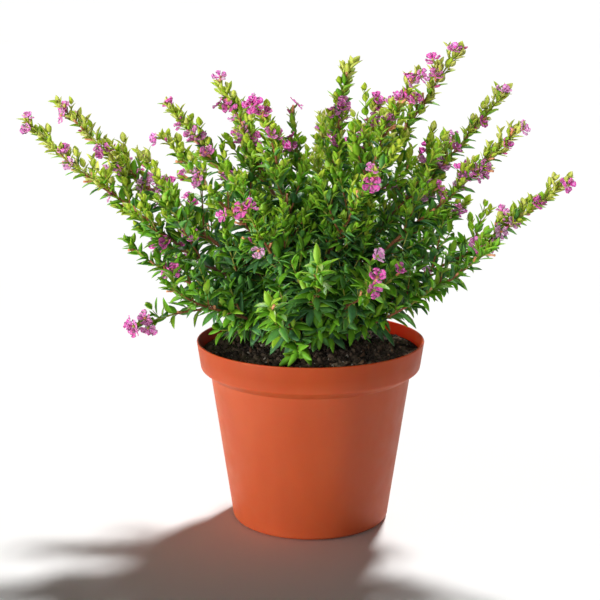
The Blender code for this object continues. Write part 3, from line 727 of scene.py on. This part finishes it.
def compost():
    """The compost bed, dented as it settled, and the crumbs, chips and grit that lie on it."""
    slant = BAND_TAPER / (POT_HEIGHT - BAND_FOOT)
    edge = RIM_RADIUS - POT_WALL - CLEARANCE - (POT_HEIGHT - SOIL_EDGE) * slant
    gap = POT_WALL + CLEARANCE
    bed = turned("compost_bed", [Vector((r, soil_height(r))) for r in np.linspace(0, edge, 70)] + [
        Vector((RIM_RADIUS - BAND_TAPER - gap, BAND_FOOT + 1.5 * MM)),
        Vector((BODY_TOP_RADIUS - gap, SHOULDER + 1 * MM)),
        Vector((BASE_RADIUS - gap - 1 * MM, POT_FLOOR + CLEARANCE)),
        Vector((0, POT_FLOOR + CLEARANCE)),
    ], potting_compost("moist_compost", "221A15", "66564A"))
    rough = bpy.data.textures.new("settled_lumps", "CLOUDS")
    rough.noise_scale = DENT_SIZE
    rough.noise_depth = 3
    dented = bed.modifiers.new("settle", "DISPLACE")
    dented.texture = rough
    dented.texture_coords = "LOCAL"
    dented.direction = "Z"
    dented.strength = DENT_DEPTH
    top = bed.vertex_groups.new(name="top")
    dented.vertex_group = top.name
    for vert in bed.data.vertices:
        if vert.co.z > SOIL_EDGE - 0.1 * MM:
            room = edge - 1 * MM - off_axis(vert.co)
            top.add([vert.index], min(1.0, max(0.0, room / (3 * MM))), "REPLACE")
    settled = finished_mesh(bed)
    bed.modifiers.clear()
    bed.vertex_groups.clear()
    bed.data = settled
    piece(bed, ["soil"])
    tree = crumb_tree()
    for name, (size, longer, spacing, seed, dark, light) in STREWN.items():
        grown(
            name, bare_ground(settled, edge - size * longer * 0.6), tree, "compost", ["soil"],
            Crumb_Size=size, Longer=longer, Spacing=spacing, Seed=seed,
            Material=potting_compost(name + "_finish", dark, light),
        )


def bare_ground(bed, reach):
    """The upper side of the compost bed within that radius, for crumbs to lie on."""
    bm = bmesh.new()
    bm.from_mesh(bed)
    outside = [
        face for face in bm.faces
        if face.normal.z < 0.3 or max(off_axis(vert.co) for vert in face.verts) > reach
    ]
    bmesh.ops.delete(bm, geom=outside, context="FACES")
    return mesh_of("compost_ground", bm)


def trunk_centre(height):
    share = (height - TRUNK_FOOT) / (TRUNK_TOP - TRUNK_FOOT)
    return Vector((TRUNK_LEAN * share * share, -TRUNK_LEAN * share * share, height))


def trunk_radius(height):
    share = (height - TRUNK_FOOT) / (TRUNK_TOP - TRUNK_FOOT)
    flare = max(0.0, 1 - (height - TRUNK_FOOT) / FLARE_HEIGHT) ** 2
    straight = TRUNK_RADIUS + (TRUNK_TOP_RADIUS - TRUNK_RADIUS) * share
    return straight + (FLARE_RADIUS - TRUNK_RADIUS) * flare


def level_way(turn):
    return Vector((math.cos(turn), math.sin(turn), 0))


def side_axes(direction):
    """Two unit vectors across a direction, the second as near to upright as it can be."""
    across = direction.cross(UP)
    if across.length < 0.05:
        across = Vector((1, 0, 0))
    across.normalize()
    return across, across.cross(direction).normalized()


def leaning(direction, degrees, turn):
    """A direction at that angle to another, turned round it, and the side that it leans to."""
    across, upper = side_axes(direction)
    side = across * math.cos(turn) + upper * math.sin(turn)
    angle = math.radians(degrees)
    return (direction * math.cos(angle) + side * math.sin(angle)).normalized(), side


class Stem:
    """One stem: the same cubic curve as in the solids, with a slight natural waver added."""

    def __init__(self, rank, name, heading, reach, height):
        self.name = name
        out = level_way(math.radians(heading))
        fork = LOWEST_FORK + (HIGHEST_FORK - LOWEST_FORK) * rank / (len(STEMS) - 1)
        start = trunk_centre(fork) + out * (trunk_radius(fork) - FORK_DEPTH)
        tip = out * reach * MM + UP * height * MM
        self.length = (tip - start).length
        first, last = self.bend(math.degrees(math.asin((tip - start).z / self.length)))
        self.corners = (
            start,
            start + self.rising(out, first) * self.length * START_PULL,
            tip - self.rising(out, last) * self.length * END_PULL,
            tip,
        )
        rng = random.Random(name + "_waver")
        self.waver = [(rng.uniform(1.2, 3.4), rng.uniform(0, math.tau)) for _ in range(4)]

    @staticmethod
    def bend(slope):
        """The angles above level, in degrees, at which a stem of that slope sets out and ends."""
        if slope < ARCHING_SLOPE:
            return ARCH_START, 2 * slope - ARCH_START
        overdone = (slope - STRAIGHT_SLOPE) * (FLATTER_BEND if slope < STRAIGHT_SLOPE else STEEPER_BEND)
        first = min(max(slope + overdone, FLATTEST_START), STEEPEST_START)
        return first, slope - overdone

    @staticmethod
    def rising(out, degrees):
        angle = math.radians(degrees)
        return out * math.cos(angle) + UP * math.sin(angle)

    def along(self, s):
        a, b, c, d = self.corners
        t = 1 - s
        return ((b - a) * t * t + (c - b) * 2 * t * s + (d - c) * s * s).normalized()

    def at(self, s):
        a, b, c, d = self.corners
        t = 1 - s
        plain = a * t**3 + b * (3 * t * t * s) + c * (3 * t * s * s) + d * s**3
        across, upper = side_axes(self.along(s))
        waves = [math.sin(math.tau * f * s + phase) for f, phase in self.waver]
        room = STEM_WOBBLE * 4 * s * (1 - s)
        return plain + (across * (waves[0] + waves[1]) + upper * (waves[2] + waves[3])) * room / 2

    def radius(self, s):
        stoutness = SHORT_STEM_SHARE + (1 - SHORT_STEM_SHARE) * self.length / LONG_STEM
        return STEM_RADIUS * (1 - STEM_TAPER * s) * stoutness


def twigs_of(stem):
    """The twigs of a stem by the solids' rule: (share of the stem, direction, length)."""
    rng = random.Random(stem.name)
    count = round(stem.length * (LAST_TWIG - BARE_SHARE) / TWIG_GAP)
    found = []
    turn = rng.uniform(0, math.tau)
    for k in range(count):
        s = FIRST_TWIG + (LAST_TWIG - FIRST_TWIG) * (k + rng.uniform(0.2, 0.8)) / count
        turn += GOLDEN_ANGLE
        length = TWIG_SHARE * stem.length * (1 - s) + TWIG_EXTRA
        length = min(length * rng.uniform(0.75, 1.15), TWIG_LONGEST)
        direction, _ = leaning(stem.along(s), TWIG_ANGLE * rng.uniform(0.8, 1.2), turn)
        found.append((s, (direction + UP * TWIG_LIFT).normalized(), length))
    return found


class Twig:
    """A twig that leaves straight and bends up towards the light."""

    def __init__(self, start, direction, length, base_radius):
        self.start = start
        self.direction = direction
        self.length = length
        self.base_radius = base_radius

    def at(self, s):
        return self.start + self.direction * self.length * s + UP * self.length * TWIG_RISE * s * s

    def along(self, s):
        return (self.direction + UP * 2 * TWIG_RISE * s).normalized()

    def radius(self, s):
        return self.base_radius + (TWIG_TIP_RADIUS - self.base_radius) * s


def offshoot(shoot, s, degrees, turn, length, radius):
    """A twig that leaves a shoot at that share of it and that angle, and a little upwards."""
    direction, _ = leaning(shoot.along(s), degrees, turn)
    return Twig(shoot.at(s), (direction + UP * SHOOT_LIFT).normalized(), length, radius)


def eased(distance, near, far, growth):
    """A size that grows from near at a shoot's tip towards far down the shoot."""
    return far + (near - far) * math.exp(-distance / growth)


class Plant:
    """Collects the limbs, leaves and blossom, each as rows for a geometry tree. Each stem brings its
    own source of chance."""

    def __init__(self):
        self.rng = None
        self.lines = {"woody": [], "russet": [], "green": []}
        self.leaves = {shade: [] for shade in GREENS}
        self.blooms = []
        self.petals = ([], [], [])
        self.spent = []
        self.buds = []

    def is_clear(self, point):
        """True where a leaf's point is over the compost, over the rim or outside the pot."""
        radius = off_axis(point)
        if radius < RIM_RADIUS - 3 * MM:
            return point.z > soil_height(radius) + 1.2 * MM
        if radius < RIM_RADIUS + 1.5 * MM:
            return point.z > POT_HEIGHT + 0.6 * MM
        return True

    def exposure(self, point):
        """Nought in the middle of the crown, one at its outside."""
        apart = point - CROWN_CENTRE
        return min(1.0, Vector((apart[i] / CROWN_REACH[i] for i in range(3))).length)

    def limb(self, shoot, first, last, kinds, nodes=()):
        """Draws a shoot, swollen at its nodes, in stretches of bark by (share at the end, kind)."""
        shares = set(np.linspace(first, last, max(4, int(shoot.length * (last - first) / (4 * MM)))))
        swell = 0.6 * MM / shoot.length
        for s in nodes:
            shares |= {s - swell, s, s + swell}
        swollen = set(nodes)
        low = first
        for end, kind in kinds:
            stretch = sorted(s for s in shares | {low, end} if low <= s <= end)
            points = [shoot.at(s) for s in stretch]
            radii = [shoot.radius(s) * (NODE_SWELL if s in swollen else 1) for s in stretch]
            if len(points) > 1:
                self.lines[kind].append((points, radii))
            low = end

    def leaf(self, root, axis, angle, side, length, age, aspect):
        """One leaf, at an angle to its shoot's axis, in the shade of green for its age and place."""
        rng = self.rng
        angle = math.radians(angle * rng.uniform(*UNEVEN))
        lift = YOUNG_LIFT - (YOUNG_LIFT + OLD_DROOP) * length / LEAF_OLD + rng.uniform(*LIFT_VARIES)
        aim = (axis * math.cos(angle) + side * math.sin(angle) + UP * lift).normalized()
        tip = root + aim * length
        if not (self.is_clear(tip) and self.is_clear((root + tip) / 2)):
            return
        facing = axis * math.sin(angle) - side * math.cos(angle) + UP * SKYWARD
        facing += Vector([rng.uniform(-TILT, TILT) for _ in range(3)])
        length *= rng.uniform(*UNEVEN_LENGTH)
        width = length * aspect * rng.uniform(*UNEVEN)
        young = YOUTH_BY_AGE * age + YOUTH_BY_LIGHT * self.exposure(tip) ** 2
        young += rng.gauss(0, YOUTH_BY_CHANCE)
        if tip.z < LOW_TIP:
            young = min(young, YOUNGEST_LOW + rng.uniform(0, 0.2))
        shade = next(name for name, green in GREENS.items() if young < green[0])
        self.leaves[shade].append((root, aim, facing, (width, length, length)))

    def leafy(self, shoot, first, last, old=LEAF_OLD, growth=LEAF_GROWTH_ON_TWIG, bunches=0.0,
              sparse=1.0, tip_leaf=1.0):
        """Pairs of leaves along a shoot from its tip down. Returns the places of its nodes. Bunches
        is the share of the axils that have a short shoot of small leaves too, sparse widens the gaps
        below the tip, and tip_leaf enlarges the youngest leaves."""
        rng = self.rng
        end = shoot.at(1)
        low = end.z < LOW_TIP and off_axis(end) < STAR_REACH
        young = (STAR_LEAF if low else LEAF_YOUNG) * tip_leaf
        closed = STAR_ANGLE if low else LEAF_ANGLE_YOUNG
        close = STAR_GAP if low else NODE_GAP_YOUNG
        s = last
        turn = rng.uniform(0, math.pi)
        nodes = []
        while s > first:
            down = (last - s) * shoot.length
            nodes.append(s)
            axis = shoot.along(s)
            across, upper = side_axes(axis)
            place = shoot.at(s)
            height = (place.z - POT_HEIGHT) / (CROWN_TOP - POT_HEIGHT)
            out = (off_axis(place) - STRONG_WITHIN) / (WEAK_BEYOND - STRONG_WITHIN)
            vigour = LOW_LEAF + (HIGH_LEAF - LOW_LEAF) * min(1.0, max(0.0, height * 1.5, out))
            length = eased(down, young, max(old * vigour, young), growth)
            angle = eased(down, closed, LEAF_ANGLE_OLD, LEAF_ANGLE_GROWTH)
            age = math.exp(-down / YOUNG_WITHIN) * (STAR_FRESHNESS if low else 1.0)
            aspect = STAR_ASPECT if low else LEAF_ASPECT + YOUNG_BROADER * tip_leaf * age
            for way in (0, math.pi):
                side = across * math.cos(turn + way) + upper * math.sin(turn + way)
                root = place + side * shoot.radius(s) * 0.5
                self.leaf(root, axis, angle, side, length, age, aspect)
                if down > BUNCHES_FROM and rng.random() < bunches:
                    self.bunch(root, axis, side)
            turn += math.pi / 2 + rng.uniform(-0.15, 0.15)
            gap = eased(down, close, NODE_GAP_OLD * vigour, NODE_GAP_GROWTH)
            if s < BARE_UNDER:
                gap *= sparse
            s -= gap * rng.uniform(*UNEVEN) / shoot.length
        return nodes

    def bunch(self, root, axis, side):
        """A few small leaves on a short shoot in the axil of a larger one."""
        direction = (axis + side * 0.8 + UP * 0.35).normalized()
        short = Twig(root, direction, BUNCH_LENGTH * self.rng.uniform(0.6, 1.3), BUNCH_RADIUS)
        self.limb(short, 0, 0.9, ((0.9, "green"),))
        self.leafy(short, 0.3, 0.95, old=LEAF_IN_BUNCH)

    def twiglet(self, shoot):
        self.limb(shoot, 0, TWIGLET_END, ((TWIGLET_END, "green"),))
        self.leafy(shoot, 0.3, TWIGLET_END, old=LEAF_ON_TWIGLET)

    def bloom(self, root, axis, turn, rows, front):
        """A blossom, spent calyx or bud that stands out of a leaf's axil."""
        rng = self.rng
        direction, side = leaning(axis, rng.uniform(*BLOOM_ANGLE), turn)
        outward = (root - CROWN_CENTRE).normalized()
        direction += UP * rng.uniform(0.1, 0.5) + outward * 0.35 + FRONT * front
        direction.normalize()
        if not self.is_clear(root + direction * (TUBE_LENGTH + PETAL_LENGTH)):
            return
        scale = rng.uniform(SMALLEST_BLOOM, LARGEST_BLOOM)
        rows.append((root, direction, side, (scale, scale, scale)))
        if rows is self.blooms:
            self.open_petals(root + direction * TUBE_LENGTH * scale, direction, side, scale)

    def open_petals(self, mouth, direction, side, scale):
        """Crinkled petals round the mouth of a blossom, each with a lift of its own."""
        rng = self.rng
        tint = self.petals[rng.choice((0, 0, 1, 1, 2))]
        across = direction.cross(side).normalized()
        side = across.cross(direction)
        opening = PETAL_LIFT + rng.uniform(*OPENING)
        for k in range(PETALS):
            turn = math.tau * k / PETALS + rng.uniform(-0.2, 0.2)
            out = side * math.cos(turn) + across * math.sin(turn)
            lift = math.radians(opening + rng.uniform(-PETAL_VARIES, PETAL_VARIES))
            aim = out * math.cos(lift) + direction * math.sin(lift)
            facing = direction * math.cos(lift) - out * math.sin(lift)
            size = scale * rng.uniform(*PETAL_SIZES)
            tint.append((mouth + out * TUBE_RADIUS * 0.6, aim, facing, (size, size, size)))

    def cluster(self, shoot, s, count, front=0.0):
        """Blossoms at neighbouring nodes, with a bud and a spent calyx among them. Front turns them
        towards the viewer."""
        rng = self.rng
        turn = rng.uniform(0, math.tau)
        for _ in range(count):
            spread = rng.uniform(-CLUSTER_SPREAD, CLUSTER_SPREAD) * MM
            place = min(max(s + spread / shoot.length, 0), 0.98)
            turn += GOLDEN_ANGLE
            self.bloom(shoot.at(place), shoot.along(place), turn, self.blooms, front)
        for share, later, rows in ((SPENT_BESIDE, 2, self.spent), (BUD_BESIDE, 4, self.buds)):
            if rng.random() < share:
                self.bloom(shoot.at(s), shoot.along(s), turn + later, rows, front)

    def twig(self, twig, wood="russet", shown=False):
        """A twig with its leaves, and its own twiglets where it is long enough."""
        rng = self.rng
        last = max(0.5, 1 - TIP_ROOM / twig.length)
        self.limb(twig, 0, last, ((TWIG_BARK, wood), (last, "green")))
        self.leafy(twig, 0.1, last, old=LEAF_ON_TWIG)
        count = int(twig.length / TWIGLET_GAP) if twig.length > BRANCHING_TWIG else 0
        turn = rng.uniform(0, math.tau)
        for k in range(count):
            s = 0.12 + 0.55 * (k + rng.uniform(0.2, 0.8)) / count
            turn += GOLDEN_ANGLE
            length = min(TWIGLET_SHARE * twig.length * (1 - s) + TWIGLET_EXTRA, TWIGLET_LONGEST)
            small = offshoot(twig, s, rng.uniform(*TWIGLET_ANGLE), turn, length, TWIGLET_RADIUS)
            if self.is_clear(small.at(1)):
                self.twiglet(small)
        tip = twig.at(1)
        blooming = TWIG_FLOWERS * min(1.0, off_axis(tip) / FULL_BLOOM)
        if tip.z < LOW_TIP:
            blooming = 0
        if shown or self.exposure(tip) > 0.5 and rng.random() < blooming:
            count = 2 if shown else rng.choice(CLUSTER_SIZES)
            self.cluster(twig, last - 4 * MM / twig.length, count, SHOWN_FRONT if shown else 0)

    def stem(self, stem):
        """A stem with everything on it."""
        rng = self.rng = random.Random(stem.name + "_growth")
        last = 1 - TIP_ROOM / stem.length
        spared = THIN.get(stem.name, 1.0)
        nodes = self.leafy(
            stem, 0.2, last, growth=LEAF_GROWTH_ON_STEM, bunches=BUNCH_SHARE * spared,
            sparse=BARE_GAPS if spared < 0.5 else 1.0, tip_leaf=TIP_LEAVES.get(stem.name, 1.0),
        )
        brown = BROWN_SHARE + BROWN_VARIES * rng.random()
        kinds = ((brown, "woody"), (brown + RUSSET_SHARE, "russet"), (last, "green"))
        self.limb(stem, 0, last, kinds, nodes)
        for k, (s, direction, length) in enumerate(twigs_of(stem)):
            length *= 1 - OUTER_SHORTENING * max(0.0, (s - OUTER_TWIGS) / (LAST_TWIG - OUTER_TWIGS))
            axis = stem.along(s)
            _, upper = side_axes(axis)
            if axis.z < SPREADING and direction.dot(upper) < 0:
                length *= UNDERSIDE_SHARE
            if k in SHORT_TWIGS.get(stem.name, ()):
                length *= SHORT_SHARE
            shown = k in SHOWN_TWIGS.get(stem.name, ())
            self.twig(Twig(stem.at(s), direction, length * spared, TWIG_RADIUS), shown=shown)
        turn = rng.uniform(0, math.tau)
        for k in range(INNER_TWIGS):
            s = INNER_FIRST + (BARE_SHARE - INNER_FIRST) * (k + rng.random()) / INNER_TWIGS
            turn += GOLDEN_ANGLE
            angle = rng.uniform(*INNER_ANGLE)
            length = INNER_LENGTH * rng.uniform(0.6, 1.1)
            inner = offshoot(stem, s, angle, turn, length, TWIG_RADIUS)
            if self.is_clear(inner.at(1)) and self.is_clear(inner.at(0.5)):
                self.twig(inner)
        self.flower(stem, last - 5 * MM / stem.length)

    def flower(self, stem, top):
        """A stem's blossom, from its top down, and the spent tubes and short shoots along it."""
        rng = self.rng = random.Random(stem.name + "_blossom")
        if stem.name in SHOWN_CLUSTERS:
            front = SHOWN_FRONT
            places = [(percent / 100, count) for percent, count in SHOWN_CLUSTERS[stem.name].items()]
        else:
            front = 0
            places = [(top, rng.choice((1, 2, 3)))]
            for _ in range(round(stem.length / CLUSTER_EVERY)):
                places.append((rng.uniform(LOWEST_CLUSTER, HIGHEST_CLUSTER), rng.choice(CLUSTER_SIZES)))
        for s, count in places:
            self.cluster(stem, s, count, front)
        for _ in range(round(stem.length / SPENT_EVERY)):
            s = rng.uniform(SPENT_FROM, SPENT_TO)
            self.bloom(stem.at(s), stem.along(s), rng.uniform(0, math.tau), self.spent, front)
        for s, side, length, count in SHOWN_SPRIGS.get(stem.name, ()):
            sprig = Twig(stem.at(s), SIDES[side], length * MM, TWIGLET_RADIUS)
            self.twiglet(sprig)
            self.cluster(sprig, 0.8, count, front)

    def basal(self):
        """Short young shoots from the trunk's foot, low over the compost."""
        rng = random.Random("basal")
        for k in range(BASAL_SHOOTS):
            out = level_way(math.tau * (k + rng.random() * 0.6) / BASAL_SHOOTS)
            height = TRUNK_FOOT + rng.uniform(4, 12) * MM
            start = trunk_centre(height) + out * trunk_radius(height) * 0.8
            direction = (out + UP * rng.uniform(0.15, 0.5)).normalized()
            length = BASAL_LENGTH * rng.uniform(0.6, 1.1)
            self.twig(Twig(start, direction, length, TWIG_RADIUS), "green")


def closed_shape(name, rings):
    """A closed body from rings of as many points each. A ring of one point is a tip."""
    bm = bmesh.new()
    rings = [[bm.verts.new(point) for point in ring] for ring in rings]
    for low, high in zip(rings, rings[1:]):
        count = max(len(low), len(high))
        for k in range(count):
            n = (k + 1) % count
            corners = (low[k % len(low)], low[n % len(low)], high[n % len(high)], high[k % len(high)])
            bm.faces.new(list(dict.fromkeys(corners)))
    for end in (rings[0], rings[-1]):
        if len(end) > 1:
            bm.faces.new(end)
    bmesh.ops.recalc_face_normals(bm, faces=bm.faces)
    return place_object(name, mesh_of(name, bm))


def leaf_shape(name, stations, fold, droop, twist):
    """A leaf of unit length and width along +Z, its upper side to +Y: a closed thin blade folded along
    its midrib, bent back along its length and turned a little about it. Stations are its outline."""
    rings = [[(0, 0, 0)]]
    for z, half in stations:
        cos, sin = math.cos(twist * z), math.sin(twist * z)
        rings.append([
            (x * cos - y * sin, x * sin * 0.33 + y * cos - droop * z * z, z)
            for x, y in ((-half, fold * half), (0, 0), (half, fold * half), (0, -LEAF_THICKNESS))
        ])
    return closed_shape(name, rings + [[(0, -droop, 1)]])


def turned_shape(name, profile, sides=8):
    """A body turned round +Z, from (radius, height) pairs. The first and last have no radius."""
    turns = [math.tau * k / sides for k in range(sides)]
    return closed_shape(name, [
        [(radius * math.cos(t), radius * math.sin(t), height) for t in (turns if radius else [0])]
        for radius, height in profile
    ])


def calyx_shape():
    """The tube under a blossom, on its short stalk, widest above its foot and flared at its mouth."""
    wide = TUBE_RADIUS
    return turned_shape("calyx_shape", (
        (0, -0.3 * MM), (0.22 * MM, 0), (0.24 * MM, 1.4 * MM), (wide * 0.8, 2.1 * MM),
        (wide, 3.2 * MM), (wide * 0.72, 5.0 * MM), (wide * 0.95, TUBE_LENGTH + 1 * MM),
        (wide * 0.5, TUBE_LENGTH + 1.1 * MM), (0, TUBE_LENGTH + 0.3 * MM),
    ))


def bud_shape():
    """A closed bud on its stalk."""
    return turned_shape("bud_shape", (
        (0, -0.3 * MM), (0.2 * MM, 0), (0.25 * MM, 1.2 * MM), (0.6 * MM, 2.0 * MM), (0.8 * MM, 3.2 * MM),
        (0.7 * MM, 4.4 * MM), (0.35 * MM, 5.3 * MM), (0, 5.6 * MM),
    ))


def petal_shape():
    """One obovate petal along +Z, its upper side to +Y: narrow at the claw, ruffled at the edge."""
    rings = []
    for rank, (t, width) in enumerate(PETAL_OUTLINE):
        half = width * PETAL_WIDTH / 2
        lift = PETAL_CUP * t * t
        edge = PETAL_RUFFLE * t * (1 if rank % 2 else -0.6)
        middle = lift * 0.3
        section = ((-half, lift + edge), (0, middle), (half, lift - edge), (0, middle - PETAL_THICKNESS))
        rings.append([(x, y, t * PETAL_LENGTH) for x, y in section])
    return closed_shape("petal_shape", rings)


def stamens_shape():
    """The tips of the stamens, just out of the tube's mouth."""
    rng = random.Random("stamens")
    bm = bmesh.new()
    for k in range(4):
        place = level_way(math.tau * k / 4) * 0.35 * MM + UP * TUBE_LENGTH
        bmesh.ops.create_cone(
            bm, cap_ends=True, segments=4, radius1=0.1 * MM, radius2=0.24 * MM,
            depth=rng.uniform(1.6, 2.8) * MM, matrix=Matrix.Translation(place),
        )
    return place_object("stamens_shape", mesh_of("stamens_shape", bm))


def foliage(plant, tree):
    """All the leaves, one piece for each shade of green and each leaf form. Returns the forms."""
    forms = (
        leaf_shape("leaf_blunt", BLUNT_LEAF, 0.12, 0.08, 0.1),
        leaf_shape("leaf_folded", POINTED_LEAF, 0.34, 0.12, -0.2),
        leaf_shape("leaf_bent", POINTED_LEAF, 0.20, 0.26, 0.35),
    )
    for rank, (shade, (_, dark, light, roughness)) in enumerate(GREENS.items()):
        finish = living_leaf("living_leaf_" + shade, dark, light, roughness)
        for k, form in enumerate(forms):
            rows = plant.leaves[shade][k :: len(forms)]
            sprouted(f"leaves_{shade}_{k}", rows, tree, form, finish, 0.14, 0.08, 10 * rank + k)
    return forms


def blossom(plant, tree):
    """Petals in three tints, tubes, also spent ones, stamens and buds. Returns their shapes."""
    petal, tube, stamens, bud = petal_shape(), calyx_shape(), stamens_shape(), bud_shape()
    tints = (
        petal_tissue("petal_magenta", "CC3A8E", "D8549E"),
        petal_tissue("petal_orchid", "CE5A9E", "D878B0"),
        petal_tissue("petal_pale_pink", "D07CAE", "DA96BE"),
    )
    for k, tint in enumerate(tints):
        sprouted(f"petals_{k}", plant.petals[k], tree, petal, tint, 0.2, 0.1, 20 + k)
    green = [row for k, row in enumerate(plant.blooms) if k % 3]
    salmon = plant.blooms[0::3] + plant.spent
    for name, rows, shape, finish in (
        ("calyx_green", green, tube, living_leaf("calyx_green", "7E9A34", "A8A850", 0.5)),
        ("calyx_salmon", salmon, tube, living_leaf("calyx_salmon", "BE7850", "D29C76", 0.5)),
        ("stamens", plant.blooms, stamens, living_leaf("stamen_tips", "8A5A30", "D8B468", 0.6)),
        ("buds", plant.buds, bud, petal_tissue("bud_skin", "94386A", "C45C90")),
    ):
        sprouted(name, rows, tree, shape, finish)
    return petal, tube, stamens, bud


def limbs(plant):
    """The stems and twigs, a piece for each kind of bark, and the furrowed trunk."""
    tree = limb_tree()
    for kind, sides, furrows, finish in (
        ("woody", 10, 0.12 * MM, young_bark("bark_brown", "3E2418", "7A5038", 1.2 * MM)),
        ("russet", 7, 0.0, young_bark("bark_russet", "6E3A22", "9A6440", 1.0 * MM)),
        ("green", 6, 0.0, living_leaf("green_shoot", "7C8A30", "A09A4A", 0.5)),
    ):
        grown(
            "stems_" + kind, line_mesh(plant.lines[kind]), tree, "bark", BOUGH_NODES + MASS_NODES,
            Sides=sides, Relief=furrows, Furrow_Width=1.0 * MM, Furrow_Stretch=0.3, Material=finish,
        )
    heights = np.linspace(TRUNK_FOOT, TRUNK_TOP, 90)
    trunk = [([trunk_centre(h) for h in heights], [trunk_radius(h) for h in heights])]
    grown(
        "trunk_bark", line_mesh(trunk), tree, "bark", ["trunk"], Sides=64, Relief=1.1 * MM,
        Furrow_Width=2.2 * MM, Furrow_Stretch=0.22,
        Material=young_bark("bark_trunk", "33211A", "6B4A38", 1.6 * MM),
    )


def lamp(name, kind, place, target, energy):
    """A lamp at a place, turned to a target."""
    light = bpy.data.lights.new(name, kind)
    light.energy = energy
    obj = place_object(name, light)
    obj.location = place
    obj.rotation_euler = (Vector(target) - Vector(place)).to_track_quat("-Z", "Y").to_euler()
    return obj


def studio():
    """A plain white floor with the sun behind the plant, a lamp at the front left and a soft fill. The
    two lamps light the plant but not the floor."""
    paper, tree, shader, coords = material("matt_white_paper", 0.9, Specular_IOR_Level=0.1)
    tone = between(tree, mottle(tree, coords, 0.4, detail=2), 0.3, 0.7, "F4F4F3", "F7F7F6")
    feed(shader, {"Base Color": tone})
    bm = bmesh.new()
    bmesh.ops.create_grid(bm, x_segments=2, y_segments=2, size=FLOOR_REACH)
    floor = place_object("floor", mesh_of("floor", bm))
    floor.data.materials.append(paper)
    for name, place, size, energy, colour in (
        ("key_light", (-1.32, -0.85, 0.26), 0.45, 29, "FFFDFA"),
        ("front_fill", (-0.4, -1.5, 0.65), 0.9, 9.4, "FFFFFF"),
    ):
        obj = lamp(name, "AREA", place, (0, 0, 0.14), energy)
        obj.data.size = size
        obj.data.color = linear(colour)[:3]
        spared = bpy.data.collections.new(name + "_spares")
        spared.objects.link(floor)
        spared.collection_objects[0].light_linking.link_state = "EXCLUDE"
        obj.light_linking.receiver_collection = spared
    lamp("back_light", "SUN", (0.36, 0.88, 1.32), (0, 0, 0), 3.9).data.angle = math.radians(7)
    room = bpy.data.worlds.new("white_room")
    room.use_nodes = True
    tree = room.node_tree
    way = add(tree, "TexCoord").outputs["Generated"]
    across, _, up = add(tree, "SeparateXYZ", {"Vector": way}).outputs
    glow, side = (
        add(tree, "MapRange", {
            "Value": place, "From Min": start, "From Max": end, "To Min": 1.0, "To Max": dimmest,
        })
        for place, start, end, dimmest in (
            (up, WALL_TOP, CEILING_START, CEILING_LIGHT), (across, -0.2, 0.8, DIM_WALL)
        )
    )
    strength = add(tree, "Math", {0: glow, 1: side}, operation="MULTIPLY")
    feed(tree.nodes["Background"], {"Strength": strength, "Color": linear("FFFFFF")})
    bpy.context.scene.world = room
    bpy.context.scene.view_settings.view_transform = "Standard"


def camera():
    made = bpy.data.cameras.new("photo_camera")
    made.sensor_width = SENSOR
    made.lens = FOCAL_PIXELS / IMAGE_SIZE * SENSOR
    obj = place_object("photo_camera", made)
    obj.location = CAMERA_PLACE
    obj.rotation_euler = (math.pi / 2 - CAMERA_PITCH, 0, 0)
    bpy.context.scene.camera = obj


def build():
    camera()
    studio()
    pot()
    compost()
    plant = Plant()
    for rank, row in enumerate(STEMS):
        plant.stem(Stem(rank, *row))
    plant.basal()
    limbs(plant)
    tree = sprout_tree()
    for shape in (*foliage(plant, tree), *blossom(plant, tree)):
        bpy.data.objects.remove(shape)


build()
